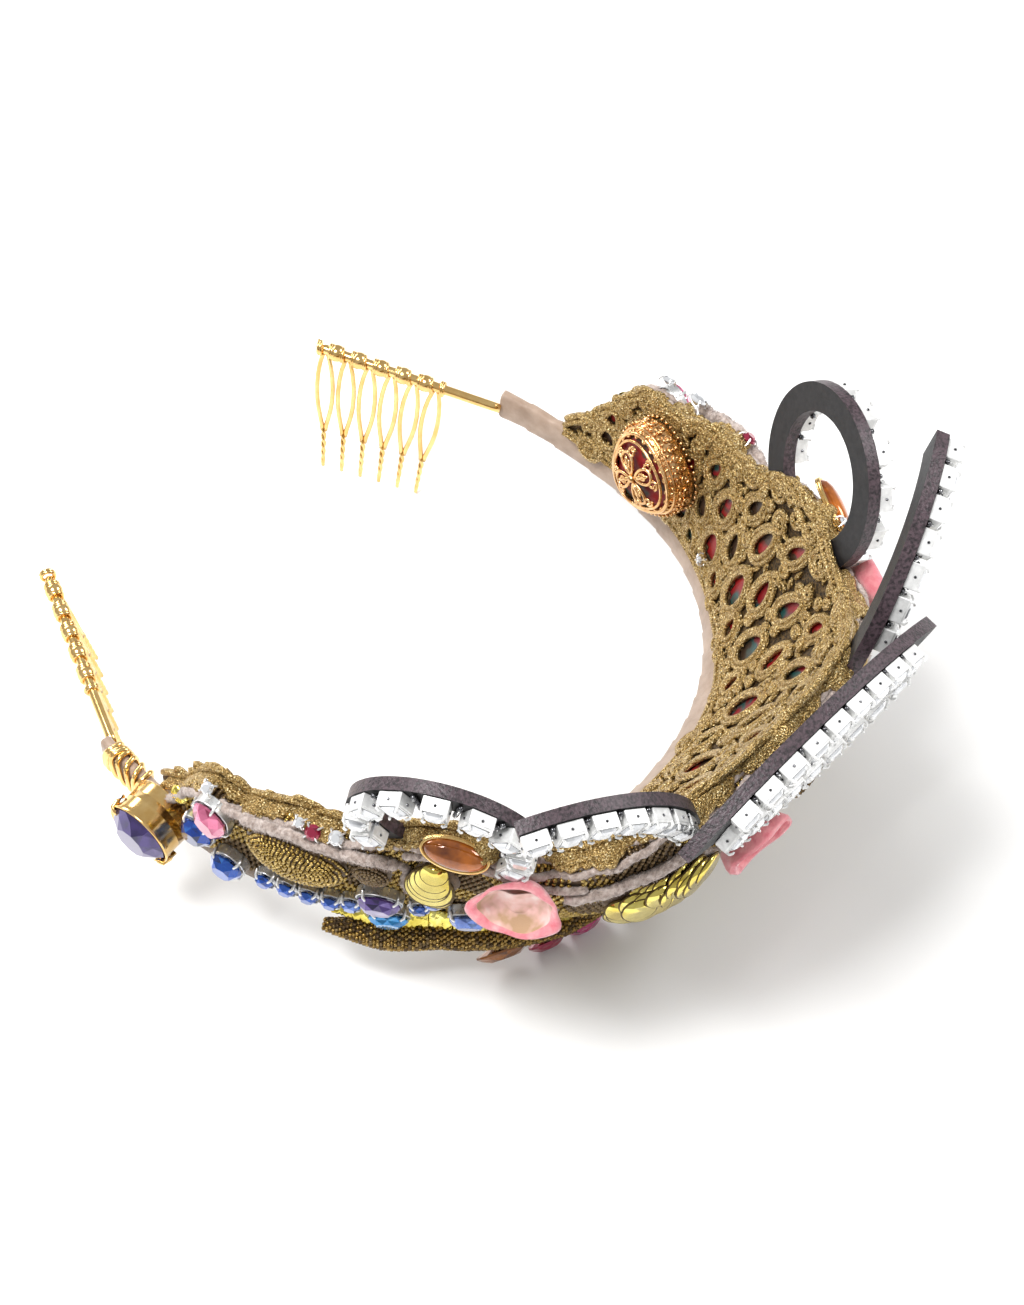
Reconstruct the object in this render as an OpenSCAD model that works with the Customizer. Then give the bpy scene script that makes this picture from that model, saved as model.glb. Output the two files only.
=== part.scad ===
// Baroque diadem: a ribbon-wrapped band with a bowl-shaped padded wall, pierced gold lace inside,
// bead, sequin and foil pads, claw-set stones and flowers outside, two wire combs and a crest of
// black plates with square crystal settings.
// It stands as it rests on a table: on the comb teeth behind and on the padded hem in front.

/* [Band] */
// Half width of the head opening at the band
band_half_width = 66; // [63:0.5:70]
// Depth of the front of the band ahead of the widest place
band_depth = 68.5; // [65:0.5:72]
// Squareness of the plan curve, 2 is an ellipse
plan_power = 2.37; // [2.2:0.01:2.5]
// Thickness of the wrapped band
band_thick = 3; // [2.5:0.1:3.2]
// Height of the wrapped band
band_height = 7.2; // [6.4:0.1:7.4]
// Tilt of the whole diadem as it rests, front down
rest_tilt = 5; // [4.8:0.1:5.2]

/* [Wall] */
// Thickness of the padded backing wall
backing_thick = 4.1; // [4:0.1:4.4]
// Thickness of the gold lace inside it
lace_thick = 1; // [0.8:0.1:1.2]
// Lace repeats along the wall
lace_repeats = 14; // [12:1:15]
// Radius of the hem roll along the lower front edge
hem_radius = 3.7; // [3.4:0.1:3.9]
// Radius of the piping
piping_radius = 2; // [1.6:0.1:2.2]

/* [Crest] */
// Thickness of the black plates
plate_thick = 3; // [2.5:0.1:3]
// Width of the band that the plates are cut as
plate_band = 6.4; // [6:0.1:7]
// Outer diameter of the two side rings
ring_diameter = 41; // [39:0.5:42]
// Length of the pointed oval in front
oval_length = 81; // [79:1:83]
// Height of the pointed oval in front
oval_height = 27; // [25:0.5:28]
// Outer radius of the two horns
horn_radius = 37; // [35:0.5:38]
// Side of a square crystal setting
setting_side = 5.7; // [5.3:0.1:6]
// Depth of a square crystal setting
setting_depth = 3.2; // [2.8:0.1:3.6]

/* [Combs] */
// Teeth in each comb
comb_teeth = 6; // [5:1:6]
// Distance between two teeth
tooth_pitch = 5.4; // [5:0.1:5.6]
// Thickness of the comb wire
comb_wire = 1.1; // [1:0.1:1.2]

/* [Hidden] */

gap = 0.3;                       // between pieces that lie on each other
small_gap = 0.12;                // between a stone and its setting
band_end = 105;                  // plan angle of the band's ends
wall_end = 92;                   // plan angle of the wall's ends
wall_foot = band_height + gap;   // where the wall starts above the band
lace_in = -0.4 - lace_thick;     // inner face of the lace, outward from the band's inner face
plate_at = 1.6;                  // middle of the plates that stand in the wall
oval_at = backing_thick + 0.9 + plate_thick / 2;

// Flare of the wall: [plan angle, slope at the band, curl for each mm of height]
FLARE = [
    [0, 0.89, 0.0044],
    [15, 0.89, 0.0044],
    [25, 0.78, 0.0035],
    [33, 0.58, 0.0021],
    [41, 0.40, 0.0008],
    [55, 0.25, 0],
    [70, 0.185, 0],
    [90, 0.123, 0],
    [110, 0.105, 0]];

// Height of the wall: [plan angle, height of the lace above the band's lower edge]
WALL_TOP = [
    [0, 62], [13, 61], [19, 57], [25, 52], [31, 51], [37, 55], [44, 52], [50, 45],
    [58, 41], [64, 41.5], [70, 36.5], [75, 34], [80, 34.5], [84, 29.5], [88, 19.5], [92, 11],
    [110, 8]];

// Extra padding behind the front: [plan angle, mm], and how it fades: [height, share]
FRONT_PADDING = [[0, 7], [18, 6.8], [30, 3], [40, 0]];
PADDING_FADE = [[0, 0.75], [26, 1], [42, 0.8], [57, 0]];

function unit(v) = v / norm(v);
function power(v, e) = sign(v) * pow(abs(v), e);

// Plan curve of the band; the angle runs from the front to the left side
function plan(u) = [band_half_width * power(sin(u), 2 / plan_power),
                    -band_depth * power(cos(u), 2 / plan_power)];
function plan_out(u) = let (p = plan(u))
    unit([power(p.x / band_half_width, plan_power - 1) / band_half_width,
          power(p.y / band_depth, plan_power - 1) / band_depth]);
function slope(u) = lookup(abs(u), [for (r = FLARE) [r[0], r[1]]]);
function curl(u) = lookup(abs(u), [for (r = FLARE) [r[0], r[2]]]);
function wall_top(u) = lookup(abs(u), WALL_TOP);
function backing_out(u, z) = backing_thick
    + lookup(abs(u), FRONT_PADDING) * lookup(z, PADDING_FADE);
// Where everything on the outside sits
function pad_seat(u, z) = backing_out(u, z) + gap;

// Point of the wall's inner face at plan angle u and height z, its directions and a point off it
function wall(u, z) = let (p = plan(u), o = plan_out(u) * (slope(u) * z - curl(u) * z * z))
    [p.x + o.x, p.y + o.y, z];
function along(u, z) = unit(wall(u + 0.2, z) - wall(u - 0.2, z));
function outward(u, z) = unit(cross(along(u, z), wall(u, z + 0.2) - wall(u, z - 0.2)));
function at(u, z, n) = wall(u, z) + n * outward(u, z);
// Millimetres along the wall for one degree of plan angle, and height for one mm up the wall
function mm_per_degree(u, z) = norm(wall(u + 0.5, z) - wall(u - 0.5, z));
function rise(u, z) = 2 / norm(wall(u, z + 1) - wall(u, z - 1));
module on_wall(u, z, n, spin = 0) {
    x = along(u, z);
    out = outward(u, z);
    y = cross(out, x);
    p = at(u, z, n);
    multmatrix([[x.x, y.x, out.x, p.x], [x.y, y.y, out.y, p.y], [x.z, y.z, out.z, p.z],
                [0, 0, 0, 1]])
        rotate(spin)
            children();
}

module both_ways(side) {
    if (side > 0) children();
    else mirror([1, 0, 0]) children();
}

// Closed solid through rings of points, with flat ends
module loft(rings) {
    k = len(rings[0]);
    m = len(rings);
    sides = [for (i = [0 : m - 2]) for (j = [0 : k - 1])
        [i * k + j, i * k + (j + 1) % k, (i + 1) * k + (j + 1) % k, (i + 1) * k + j]];
    first = [for (j = [k - 1 : -1 : 0]) j];
    last = [for (j = [0 : k - 1]) (m - 1) * k + j];
    polyhedron([for (r = rings) for (p = r) p], concat(sides, [first, last]), convexity = 6);
}

// Round tube along a path
function tube_rings(path, r, sides, up) = [for (i = [0 : len(path) - 1])
    let (a = path[max(i - 1, 0)], b = path[min(i + 1, len(path) - 1)],
         t = unit(b - a), x = unit(cross(t, up)), y = cross(t, x),
         size = is_list(r) ? r[i] : r)
    [for (j = [0 : sides - 1]) let (w = -360 * j / sides)
        path[i] + size * (cos(w) * x + sin(w) * y)]];
module tube(path, r, sides = 6, up = [0, 0, 1]) {
    loft(tube_rings(path, r, sides, up));
}

// Padded form on the wall: half length a, half height b, swelling out from the seat
PAD_PROFILE = [[0.55, 0], [1, 0], [1.02, 0.25], [0.9, 0.62], [0.55, 0.92]];
function pad_shape(w, point) = [cos(w) * (1 - point * abs(sin(w)) * 0.3), sin(w)];
module cushion(u, z, a, b, spin, swell, point = 0, sides = 14) {
    k = sides;
    function spot(f, w, swelling) =
        let (q = pad_shape(w, point), x = a * f * q.x, y = b * f * q.y,
             du = (x * cos(spin) - y * sin(spin)) / mm_per_degree(u, z),
             dz = (x * sin(spin) + y * cos(spin)) * rise(u, z))
        at(u + du, z + dz, pad_seat(u + du, z + dz) + swelling);
    rings = [for (r = PAD_PROFILE) [for (j = [0 : k - 1])
        spot(r[0], 360 * j / k, swell * r[1])]];
    m = len(rings);
    points = concat([for (r = rings) for (p = r) p], [spot(0, 0, 0), spot(0, 0, swell)]);
    sides_list = [for (i = [0 : m - 2]) for (j = [0 : k - 1])
        [i * k + j, (i + 1) * k + j, (i + 1) * k + (j + 1) % k, i * k + (j + 1) % k]];
    back = [for (j = [0 : k - 1]) [j, (j + 1) % k, m * k]];
    front = [for (j = [0 : k - 1]) [(m - 1) * k + (j + 1) % k, (m - 1) * k + j, m * k + 1]];
    polyhedron(points, concat(sides_list, back, front), convexity = 4);
}

// Band wrapped in satin ribbon
module headband() {
    step = 5;
    e = band_thick / 3;
    section = [[0, e], [e, 0], [band_thick - e, 0], [band_thick, e],
               [band_thick, band_height - e], [band_thick - e, band_height],
               [e, band_height], [0, band_height - e]];
    color("tan")
        loft([for (u = [-band_end : step : band_end])
            [for (s = section) at(u, s[1], s[0])]]);
}

// Padded backing wall; it laps over the band's outer face, with slots for the plates
module backing() {
    step = wall_end / 26;
    lap = band_thick + gap;
    foot = 0.5;
    color("tan")
        difference() {
            loft([for (u = [-wall_end : step : wall_end])
                let (top = wall_top(u) - 2.5)
                concat([at(u, wall_foot, lap), at(u, foot, lap)],
                       [for (f = [0, 0.45, 0.7, 0.86, 1])
                           let (z = foot + f * (top - foot)) at(u, z, backing_out(u, z))],
                       [for (f = [1, 0.75, 0.5, 0.25, 0]) at(u, wall_foot + f * (top - wall_foot), 0)])]);
            for (side = [-1, 1]) both_ways(side) {
                on_ring() cylinder(h = plate_thick + 2 * gap, r = ring_diameter / 2 + gap,
                                   center = true, $fn = 48);
                on_horn() linear_extrude(plate_thick + 2 * gap, center = true)
                    horn_outline(gap, $fn = 48);
            }
        }
}

// Openings of one lace repeat: [mm along, share of height, width, height, tilt]
LACE_OPENINGS = [
    [-0.5, 0.26, 5.4, 0.22, 0],
    [0.5, 0.60, 3.8, 0.22, 14],
    [6.8, 0.13, 3.0, 0.11, -20],
    [6.8, 0.42, 3.8, 0.19, -10],
    [6.8, 0.76, 3.2, 0.17, 22]];
lace_span = 174;                 // plan angle that the repeats cover

// Pierced gold lace with a scrolled top edge
module lace_lining() {
    pitch = lace_span / lace_repeats;
    step = pitch / 4;
    last = 2 * ceil(wall_end / pitch * 2);
    lobe = [0, 1.2, 0, 1.6];
    color("goldenrod")
        difference() {
            loft([for (k = [-last : last])
                let (u = k * step, top = wall_top(u) + lobe[(k + 4 * last) % 4],
                     tall = top - wall_foot)
                concat([for (f = [0, 1 / 3, 2 / 3, 1]) at(u, wall_foot + f * tall, lace_in + lace_thick)],
                       [for (f = [1, 2 / 3, 1 / 3, 0]) at(u, wall_foot + f * tall, lace_in)])]);
            for (k = [0 : lace_repeats - 1]) for (h = LACE_OPENINGS) {
                middle = -lace_span / 2 + pitch * (k + 0.35);
                u = middle + h[0] * pitch / 13;
                tall = wall_top(u) - wall_foot;
                z = wall_foot + h[1] * tall;
                if (h[3] * tall > 2.6)
                    on_wall(u, z, lace_in + lace_thick / 2, h[4])
                        hull()
                            for (y = [-1, 1])
                                translate([0, y * max(h[3] * tall - h[2], 0.3) / 2, 0])
                                    rotate(90 * y)
                                        cylinder(h = 4, r = h[2] / 2, center = true, $fn = 3);
            }
        }
}

// Comb: [x, y, z] of the spine's root and far end, and the teeth's reach there
SPINE_ROOT = [63.6, 23.4, 3.6];
SPINE_END = [45.6, 58.9, 10.9];
TOOTH_AT_ROOT = [-8.2, 1.2, -31.3];
TOOTH_AT_END = [-7.5, -6.2, -31.4];
EYE = [[0, 0], [0.16, 0.8], [0.34, 1.15], [0.53, 0.75], [0.68, 0.1]];

module comb() {
    spine = SPINE_END - SPINE_ROOT;
    x = unit(spine);
    span = norm(spine);
    eye_half = 1.55;
    spine_half = 1.15;
    color("gold") {
        tube([SPINE_ROOT + [0.3, -0.8, 0.3], SPINE_ROOT, SPINE_END + spine_half * x],
             [0.9, 1, 1] * spine_half, 6);
        for (k = [0 : comb_teeth - 1]) {
            f = 1 - k * tooth_pitch / span;
            foot = SPINE_ROOT + f * spine;
            reach = f * TOOTH_AT_END + (1 - f) * TOOTH_AT_ROOT;
            for (s = [-1, 1])
                tube([for (e = EYE) foot + e[0] * reach + s * e[1] * eye_half * x],
                     comb_wire / 2, 4, x);
            tube([foot + 0.64 * reach, foot + 0.7 * reach, foot + reach],
                 [0.6, 0.85, 0.45] * comb_wire, 5, x);
            if (k < comb_teeth - 1)
                tube([for (s = [0.15, 0.32, 0.68, 0.85]) foot - x * tooth_pitch * s],
                     [1.1, 1.6, 1.6, 1.1] * spine_half, 6);
        }
    }
}

// Padded roll along the lower front edge, covered in bugle beads
module hem_roll() {
    end = 60;
    step = 3.75;
    path = [for (u = [-end : step : end])
        at(u, -0.5 + 2 * cos(u * 90 / end), pad_seat(u, 0) + hem_radius)];
    size = [for (u = [-end : step : end])
        hem_radius * min(1, 0.3 + (end - abs(u)) / 15)];
    color("darkgoldenrod")
        tube(path, size, 8);
}

// Chenille piping: over the dome, under the foil on the left and over the sequins on the right
// [plan angle, height]
DOME_PIPING = [
    [72.6, 35], [69, 36.6], [64.5, 38.8], [59, 38.6], [54.5, 38.8], [50, 40.6], [46.6, 42]];
LEFT_PIPING = [[21.5, 35.2], [18, 36.8], [14.5, 38.4], [10.5, 40.3], [6, 42.3], [1.8, 44]];
RIGHT_PIPING = [[25.4, 45.4], [21.5, 47.6], [17.5, 50], [13, 52], [8, 53.2], [3, 53.4]];
module piping(side) {
    r = piping_radius;
    color("rosybrown")
        both_ways(side)
            for (run = [DOME_PIPING, side > 0 ? LEFT_PIPING : RIGHT_PIPING])
                tube([for (p = run) at(p[0], p[1], pad_seat(p[0], p[1]) + r)],
                     [for (i = [0 : len(run) - 1]) r * (i == 0 || i == len(run) - 1 ? 0.6 : 1)], 6);
}

// Pads: [plan angle, height, half length, half height, spin, swell, point]
DOME_PAD = [64, 26.4, 10.8, 9.8, -3, 4.4, 0];
DARK_PAD = [50.6, 31, 4, 6.2, 0, 2.8, 0];
FRONT_BEADS_LEFT = [9.5, 33.5, 12, 4.6, -22, 5, 0.4];
FRONT_BEADS_RIGHT = [3.4, 45, 5, 5, 0, 3.2, 0];
ARM_SEQUINS = [40.6, 36, 5.2, 9, -6, 3.2, 0.3];
FRONT_SEQUINS = [15, 41.4, 11, 6.6, -14, 3.4, 0.5];
FRONT_FOIL = [15, 46.5, 12, 6, -24, 5, 0.6];
END_FOIL = [86, 22.4, 2.2, 2.6, 0, 2.2, 0];
BEAD_PADS_LEFT = [DOME_PAD, DARK_PAD, FRONT_BEADS_LEFT];
BEAD_PADS_RIGHT = [DOME_PAD, DARK_PAD, FRONT_BEADS_RIGHT];
module pads(side, table, shade) {
    color(shade)
        both_ways(side)
            for (p = table)
                cushion(p[0], p[1], p[2], p[3], p[4], p[5], p[6]);
}

// Cup-shaped flower opening outward; its rim curls back
module flower_cup(wide, tall, deep) {
    k = 12;
    shell = 1.1;
    outer = [[0.25, 0], [0.62, 0.22], [0.86, 0.6], [1, 1]];
    inner = [[0.9, 1.02], [0.74, 0.6], [0.5, 0.34], [0.2, 0.24]];
    function petal(w) = 1 + 0.09 * cos(3 * w);
    loft([for (r = concat(outer, inner)) [for (j = [0 : k - 1]) let (w = -360 * j / k)
        [wide * r[0] * cos(w) * petal(w), tall * r[0] * sin(w) * petal(w),
         deep * r[1] + (r[1] > 1 ? shell / 2 : 0)]]]);
}
// The flowers open upward: [plan angle, height], the angle, and the back's distance from its seat
FLOWER_PLACE = [30, 44.6];
flower_lift = 38;
flower_off = 1.9;
FRONT_FLOWER = [2, 23];
front_flower_lift = 20;
front_flower_off = 0.4;
module side_flower(side) {
    color("pink")
        both_ways(side)
            on_wall(FLOWER_PLACE[0], FLOWER_PLACE[1],
                    pad_seat(FLOWER_PLACE[0], FLOWER_PLACE[1]) + flower_off, -8)
                rotate([-flower_lift, 0, 0])
                    flower_cup(9.2, 6.6, 5);
}
module flower_front() {
    color("pink")
        on_wall(FRONT_FLOWER[0], FRONT_FLOWER[1],
                pad_seat(FRONT_FLOWER[0], FRONT_FLOWER[1]) + front_flower_off, 12)
            rotate([-front_flower_lift, 0, 0])
                flower_cup(8.6, 6.2, 8);
}

// Oval amber cabochon in a thin gold rim on the wall's edge above the flower, its face upward
AMBER_PLACE = [38.6, 53];
amber_lift = 50;
module amber(side) {
    color("orange")
        both_ways(side)
            on_wall(AMBER_PLACE[0], AMBER_PLACE[1], pad_seat(AMBER_PLACE[0], AMBER_PLACE[1]) + 0.1, 8)
                rotate([-amber_lift, 0, 0])
                    linear_extrude(3, scale = 0.75)
                        scale([7.4, 3.6])
                            circle(1, $fn = 20);
}

// Puffed filigree boss inside the left arm, pierced in front
module filigree_boss() {
    k = 15;
    shell = 1.1;
    profile = [[0.5, 0], [0.9, 0.05], [1, 0.4], [0.86, 0.8], [0.5, 0.97], [0.1, 1]];
    function heart(w) = 1 + 0.07 * cos(3 * w);
    function ring(f, h, inset) = [for (j = [0 : k - 1]) let (w = -360 * j / k)
        [(10.6 * f - inset) * heart(w) * cos(w), (11 * f - inset) * heart(w) * sin(w), h]];
    color("gold")
        on_wall(72, 22.5, lace_in - gap, 0)
            mirror([0, 0, 1])
                difference() {
                    loft([for (p = profile) ring(p[0], 10 * p[1], 0)]);
                    loft([for (p = profile) if (p[0] > 0.4)
                        ring(p[0], 0.3 + 8.6 * p[1], shell)]);
                    for (j = [0 : 3])
                        rotate(45 + 90 * j)
                            hull()
                                for (x = [2.2, 4.6])
                                    translate([x, 0, 5])
                                        cylinder(h = 9, r = x / 3.6, $fn = 6);
                    for (j = [0 : 7])
                        rotate(22.5 + 45 * j)
                            hull()
                                for (y = [-1.4, 1.4])
                                    translate([7.6, y, 7])
                                        cylinder(h = 6, r = 0.9, $fn = 4);
                }
}

// Places of the plates
RING_PLACE = [41, 60.4];
HORN_PLACE = [20, 68];
OVAL_PLACE = [0, 71];
HORN_MIDDLE = [22, -14];         // centre of the horn's outer edge on its plate
HORN_FROM = 192;                 // angle of its root
HORN_TO = 78;                    // angle of its tip
module on_ring() on_wall(RING_PLACE[0], RING_PLACE[1], plate_at) children();
module on_horn() on_wall(HORN_PLACE[0], HORN_PLACE[1], plate_at) children();
module on_oval() on_wall(OVAL_PLACE[0], OVAL_PLACE[1], oval_at) children();

module ring_plate(side) {
    color("#2b2829")
        both_ways(side)
            on_ring()
                difference() {
                    cylinder(h = plate_thick, r = ring_diameter / 2, center = true, $fn = 64);
                    cylinder(h = plate_thick + 2, r = ring_diameter / 2 - plate_band,
                             center = true, $fn = 64);
                }
}

// Horn: a quarter ring that narrows from its root to its tip
module horn_outline(grow = 0) {
    narrowing = 1.2;
    far = 2 * horn_radius;
    translate(HORN_MIDDLE)
        difference() {
            circle(horn_radius + grow);
            translate([narrowing, -narrowing])
                circle(horn_radius - plate_band - grow);
            polygon([[0, 0], far * [cos(HORN_TO), sin(HORN_TO)], [far, far], [far, -far],
                     [-far, -far], far * [cos(HORN_FROM), sin(HORN_FROM)]]);
        }
}
module horn_plate(side) {
    color("#2b2829")
        both_ways(side)
            on_horn()
                linear_extrude(plate_thick, center = true)
                    horn_outline($fn = 96);
}

// Pointed oval: the overlap of two circles
function oval_circle(half, high) = (half * half + high * high) / (2 * high);
module pointed_oval(half, high) {
    r = oval_circle(half, high);
    intersection_for (s = [-1, 1])
        translate([0, s * (r - high)])
            circle(r);
}
module oval_plate() {
    half = oval_length / 2;
    high = oval_height / 2;
    color("#2b2829")
        on_oval()
            linear_extrude(plate_thick, center = true)
                difference() {
                    pointed_oval(half, high, $fn = 128);
                    pointed_oval(half - plate_band * 2.6, high - plate_band, $fn = 128);
                }
}

// Square crystal in its setting; the setting stands on the plate's outer face
crystal_pocket = setting_side - 1;
module setting_block() {
    pocket_deep = 1.8;
    translate([0, 0, plate_thick / 2 + 0.1])
        difference() {
            translate([0, 0, setting_depth / 2])
                cube([setting_side, setting_side, setting_depth], center = true);
            translate([0, 0, setting_depth])
                cube([crystal_pocket, crystal_pocket, 2 * pocket_deep], center = true);
        }
}
module square_crystal() {
    half = crystal_pocket / 2 - small_gap;
    table = half * 0.6;
    function square_ring(s, h) = [for (c = [[-1, -1], [-1, 1], [1, 1], [1, -1]]) [s * c.x, s * c.y, h]];
    translate([0, 0, plate_thick / 2 + 0.1 + setting_depth])
        loft([square_ring(0.3, -1.6), square_ring(half, -0.1), square_ring(table, 0.8)]);
}

// Where the settings stand: ring angles, horn angles and places along the pointed oval
module each_ring_setting() {
    first = -27;
    count = 9;
    for (k = [0 : count - 1])
        rotate(first + k * (180 - 2 * first) / (count - 1))
            translate([ring_diameter / 2 - plate_band / 2, 0, 0])
                children();
}
module each_horn_setting() {
    first = 156;
    count = 7;
    step = 12.2;
    for (k = [0 : count - 1])
        translate([HORN_MIDDLE[0], HORN_MIDDLE[1], 0])
            rotate(first - k * step)
                translate([horn_radius - plate_band / 2 - 0.4, 0, 0])
                    children();
}
module each_oval_setting() {
    high = oval_height / 2;
    r = oval_circle(oval_length / 2, high);
    per_side = 9;
    step = 6;
    for (s = [-1, 1]) for (k = [0 : per_side - 1])
        translate([0, s * (high - r), 0])
            rotate(s * 90 + (k - (per_side - 1) / 2) * step)
                translate([r - plate_band / 2, 0, 0])
                    children();
}
module ring_settings(side) {
    color("silver") both_ways(side) on_ring() each_ring_setting() setting_block();
}
module horn_settings(side) {
    color("silver") both_ways(side) on_horn() each_horn_setting() setting_block();
}
module oval_settings() {
    color("silver") on_oval() each_oval_setting() setting_block();
}
module crest_crystals(side) {
    color("white") both_ways(side) {
        on_ring() each_ring_setting() square_crystal();
        on_horn() each_horn_setting() square_crystal();
    }
}
module oval_crystals() {
    color("white") on_oval() each_oval_setting() square_crystal();
}

// Outline of a cut stone: round and oval, or pear with its point up
function stone_edge(w, wide, tall, pear) =
    [wide / 2 * cos(w) * (1 - pear * 0.45 * max(sin(w), 0)), tall / 2 * sin(w)];
function stone_ring(k, wide, tall, pear, f, h) = [for (j = [0 : k - 1])
    let (e = stone_edge(-360 * (j + 0.5) / k, wide, tall, pear)) [f * e.x, f * e.y, h]];
// Cut stone: culet, girdle and table, the girdle at height 0
module gem(wide, tall, pear = 0, k = 10) {
    deep = 0.32 * min(wide, tall);
    loft([stone_ring(k, wide, tall, pear, 0.12, -deep), stone_ring(k, wide, tall, pear, 1, 0),
          stone_ring(k, wide, tall, pear, 0.6, deep * 0.55)]);
}
// Silver cup under a stone, with claws outside the stone's edge
module claw_cup(wide, tall, pear, high, claws = 4, k = 12) {
    wall = 0.6;
    function outline(grow) = [for (p = stone_ring(k, wide + grow, tall + grow, pear, 1, 0)) [p.x, p.y]];
    difference() {
        linear_extrude(high) polygon(outline(0.8));
        translate([0, 0, -1]) linear_extrude(high + 2) polygon(outline(-2 * wall));
    }
    for (c = [0 : claws - 1]) {
        w = 45 + c * 360 / claws;
        e = stone_edge(w, wide + 1.1, tall + 1.1, pear);
        translate([e.x, e.y, (high + 1.2) / 2])
            rotate(w)
                cube([0.7, 0.9, high + 1.2], center = true);
    }
}

// Main stones on one side: [plan angle, height, width, height of the stone, spin, pear]
ROYAL_ROUND = [81.8, 17.8, 8, 8, 0, 0];
PINK_PEAR = [78.2, 28.4, 8, 11.4, 157, 1];
BLUE_ROUND = [77.2, 9, 7.8, 7.8, 0, 0];
VIOLET_OVAL = [49.4, 18.2, 9.6, 7.4, 6, 0];
AQUA_OVAL = [48.2, 8.6, 8.8, 6, 0, 0];
SKY_OVAL = [34.6, 19.6, 8.8, 6.6, -12, 0];
MAIN_STONES = [ROYAL_ROUND, PINK_PEAR, BLUE_ROUND, VIOLET_OVAL, AQUA_OVAL, SKY_OVAL];
cup_high = 2.4;
girdle_over = 0.6;               // the girdle above the cup's rim
// A flat cup stands a little higher on a curved wall
function stone_seat(s) = pad_seat(s[0], s[1]) + 0.4;
module main_stone(side, s, shade) {
    color(shade)
        both_ways(side)
            on_wall(s[0], s[1], stone_seat(s) + cup_high + girdle_over, s[4])
                gem(s[2], s[3], s[5], 12);
}
module claw_cups(side) {
    color("silver")
        both_ways(side)
            for (s = MAIN_STONES)
                on_wall(s[0], s[1], stone_seat(s), s[4])
                    claw_cup(s[2], s[3], s[5], cup_high);
}

chain_high = 2;
// Small stones in a row: [plan angle, height, width, height of the stone]
CHAIN = [
    [70.6, 9.2, 4.4, 4.4], [66.6, 9.4, 4.4, 4.4], [62.6, 9.6, 4.4, 4.4], [58.6, 9.9, 4.4, 4.4],
    [54.7, 11, 4.4, 4.4], [42.9, 15.6, 4.6, 4.2], [40.2, 20.2, 3.8, 3.6]];
module cup_chain(side) {
    color("silver")
        both_ways(side)
            for (s = CHAIN)
                on_wall(s[0], s[1], pad_seat(s[0], s[1]))
                    claw_cup(s[2], s[3], 0, chain_high, 0, 8);
}
module chain_stones(side) {
    color("blue")
        both_ways(side)
            for (s = CHAIN)
                on_wall(s[0], s[1], pad_seat(s[0], s[1]) + chain_high + girdle_over)
                    gem(s[2], s[3], 0, 8);
}

// Stones under the hem: [plan angle, height, width, height of the stone]
HEM_STONES = [
    [29, -2.4, 12.4, 7.2], [20.6, -1.9, 9.4, 6.4], [13.4, -1.5, 9.6, 6.4], [5.2, -1.2, 9, 6]];
module hem_stones(side) {
    color("crimson")
        both_ways(side)
            for (s = HEM_STONES)
                on_wall(s[0], s[1], pad_seat(s[0], s[1]) + 2 * hem_radius + gap + 0.5)
                    gem(s[2], s[3], 0, 10);
}

// Large stone in a gold bezel at the right end of the wall
END_PLACE = [89.3, 10.3];
END_STONE = [15, 14.4];
module on_end(side) both_ways(side)
    on_wall(END_PLACE[0], END_PLACE[1], pad_seat(END_PLACE[0], END_PLACE[1]), 14) children();
module end_bezel(side) {
    deep = 9.2;
    k = 20;
    function outline(grow) = [for (p = stone_ring(k, END_STONE[0] + grow, END_STONE[1] + grow,
                                                 0, 1, 0)) [p.x, p.y]];
    color("gold")
        on_end(side)
            difference() {
                linear_extrude(deep) polygon(outline(1.6));
                translate([0, 0, 1.2]) linear_extrude(deep) polygon(outline(2 * small_gap));
            }
}
module end_stone(side) {
    color("mediumpurple")
        on_end(side)
            translate([0, 0, 8.8])
                gem(END_STONE[0], END_STONE[1], 0, 14);
}

// Everything is drawn as it rests, its lowest point on the ground
rest_lift = 22.36;               // height of the band's front edge over the ground
rest_shift = 35.7;               // brings the middle of the whole over the origin
rest_side = 2.2;                 // the same, across
module at_rest() translate([rest_side, rest_shift, rest_lift]) rotate([rest_tilt, 0, 0]) children();

at_rest() headband();
at_rest() backing();
at_rest() lace_lining();
at_rest() comb();  // comb_left
at_rest() mirror([1, 0, 0]) comb();  // comb_right
at_rest() hem_roll();
at_rest() piping(1);  // piping_left
at_rest() piping(-1);  // piping_right
at_rest() pads(1, BEAD_PADS_LEFT, "darkgoldenrod");  // bead_pad_left
at_rest() pads(-1, BEAD_PADS_RIGHT, "darkgoldenrod");  // bead_pad_right
at_rest() pads(1, [ARM_SEQUINS], "gold");  // sequin_pad_left
at_rest() pads(-1, [ARM_SEQUINS, FRONT_SEQUINS], "gold");  // sequin_pad_right
at_rest() pads(1, [END_FOIL, FRONT_FOIL], "gold");  // foil_pad_left
at_rest() pads(-1, [END_FOIL], "gold");  // foil_pad_right
at_rest() side_flower(1);  // flower_left
at_rest() side_flower(-1);  // flower_right
at_rest() flower_front();
at_rest() amber(1);  // amber_left
at_rest() amber(-1);  // amber_right
at_rest() filigree_boss();
at_rest() ring_plate(1);  // ring_plate_left
at_rest() ring_plate(-1);  // ring_plate_right
at_rest() horn_plate(1);  // horn_plate_left
at_rest() horn_plate(-1);  // horn_plate_right
at_rest() oval_plate();
at_rest() ring_settings(1);  // ring_settings_left
at_rest() ring_settings(-1);  // ring_settings_right
at_rest() horn_settings(1);  // horn_settings_left
at_rest() horn_settings(-1);  // horn_settings_right
at_rest() oval_settings();
at_rest() crest_crystals(1);  // crest_crystals_left
at_rest() crest_crystals(-1);  // crest_crystals_right
at_rest() oval_crystals();
at_rest() end_bezel(-1);
at_rest() end_stone(-1);
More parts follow.
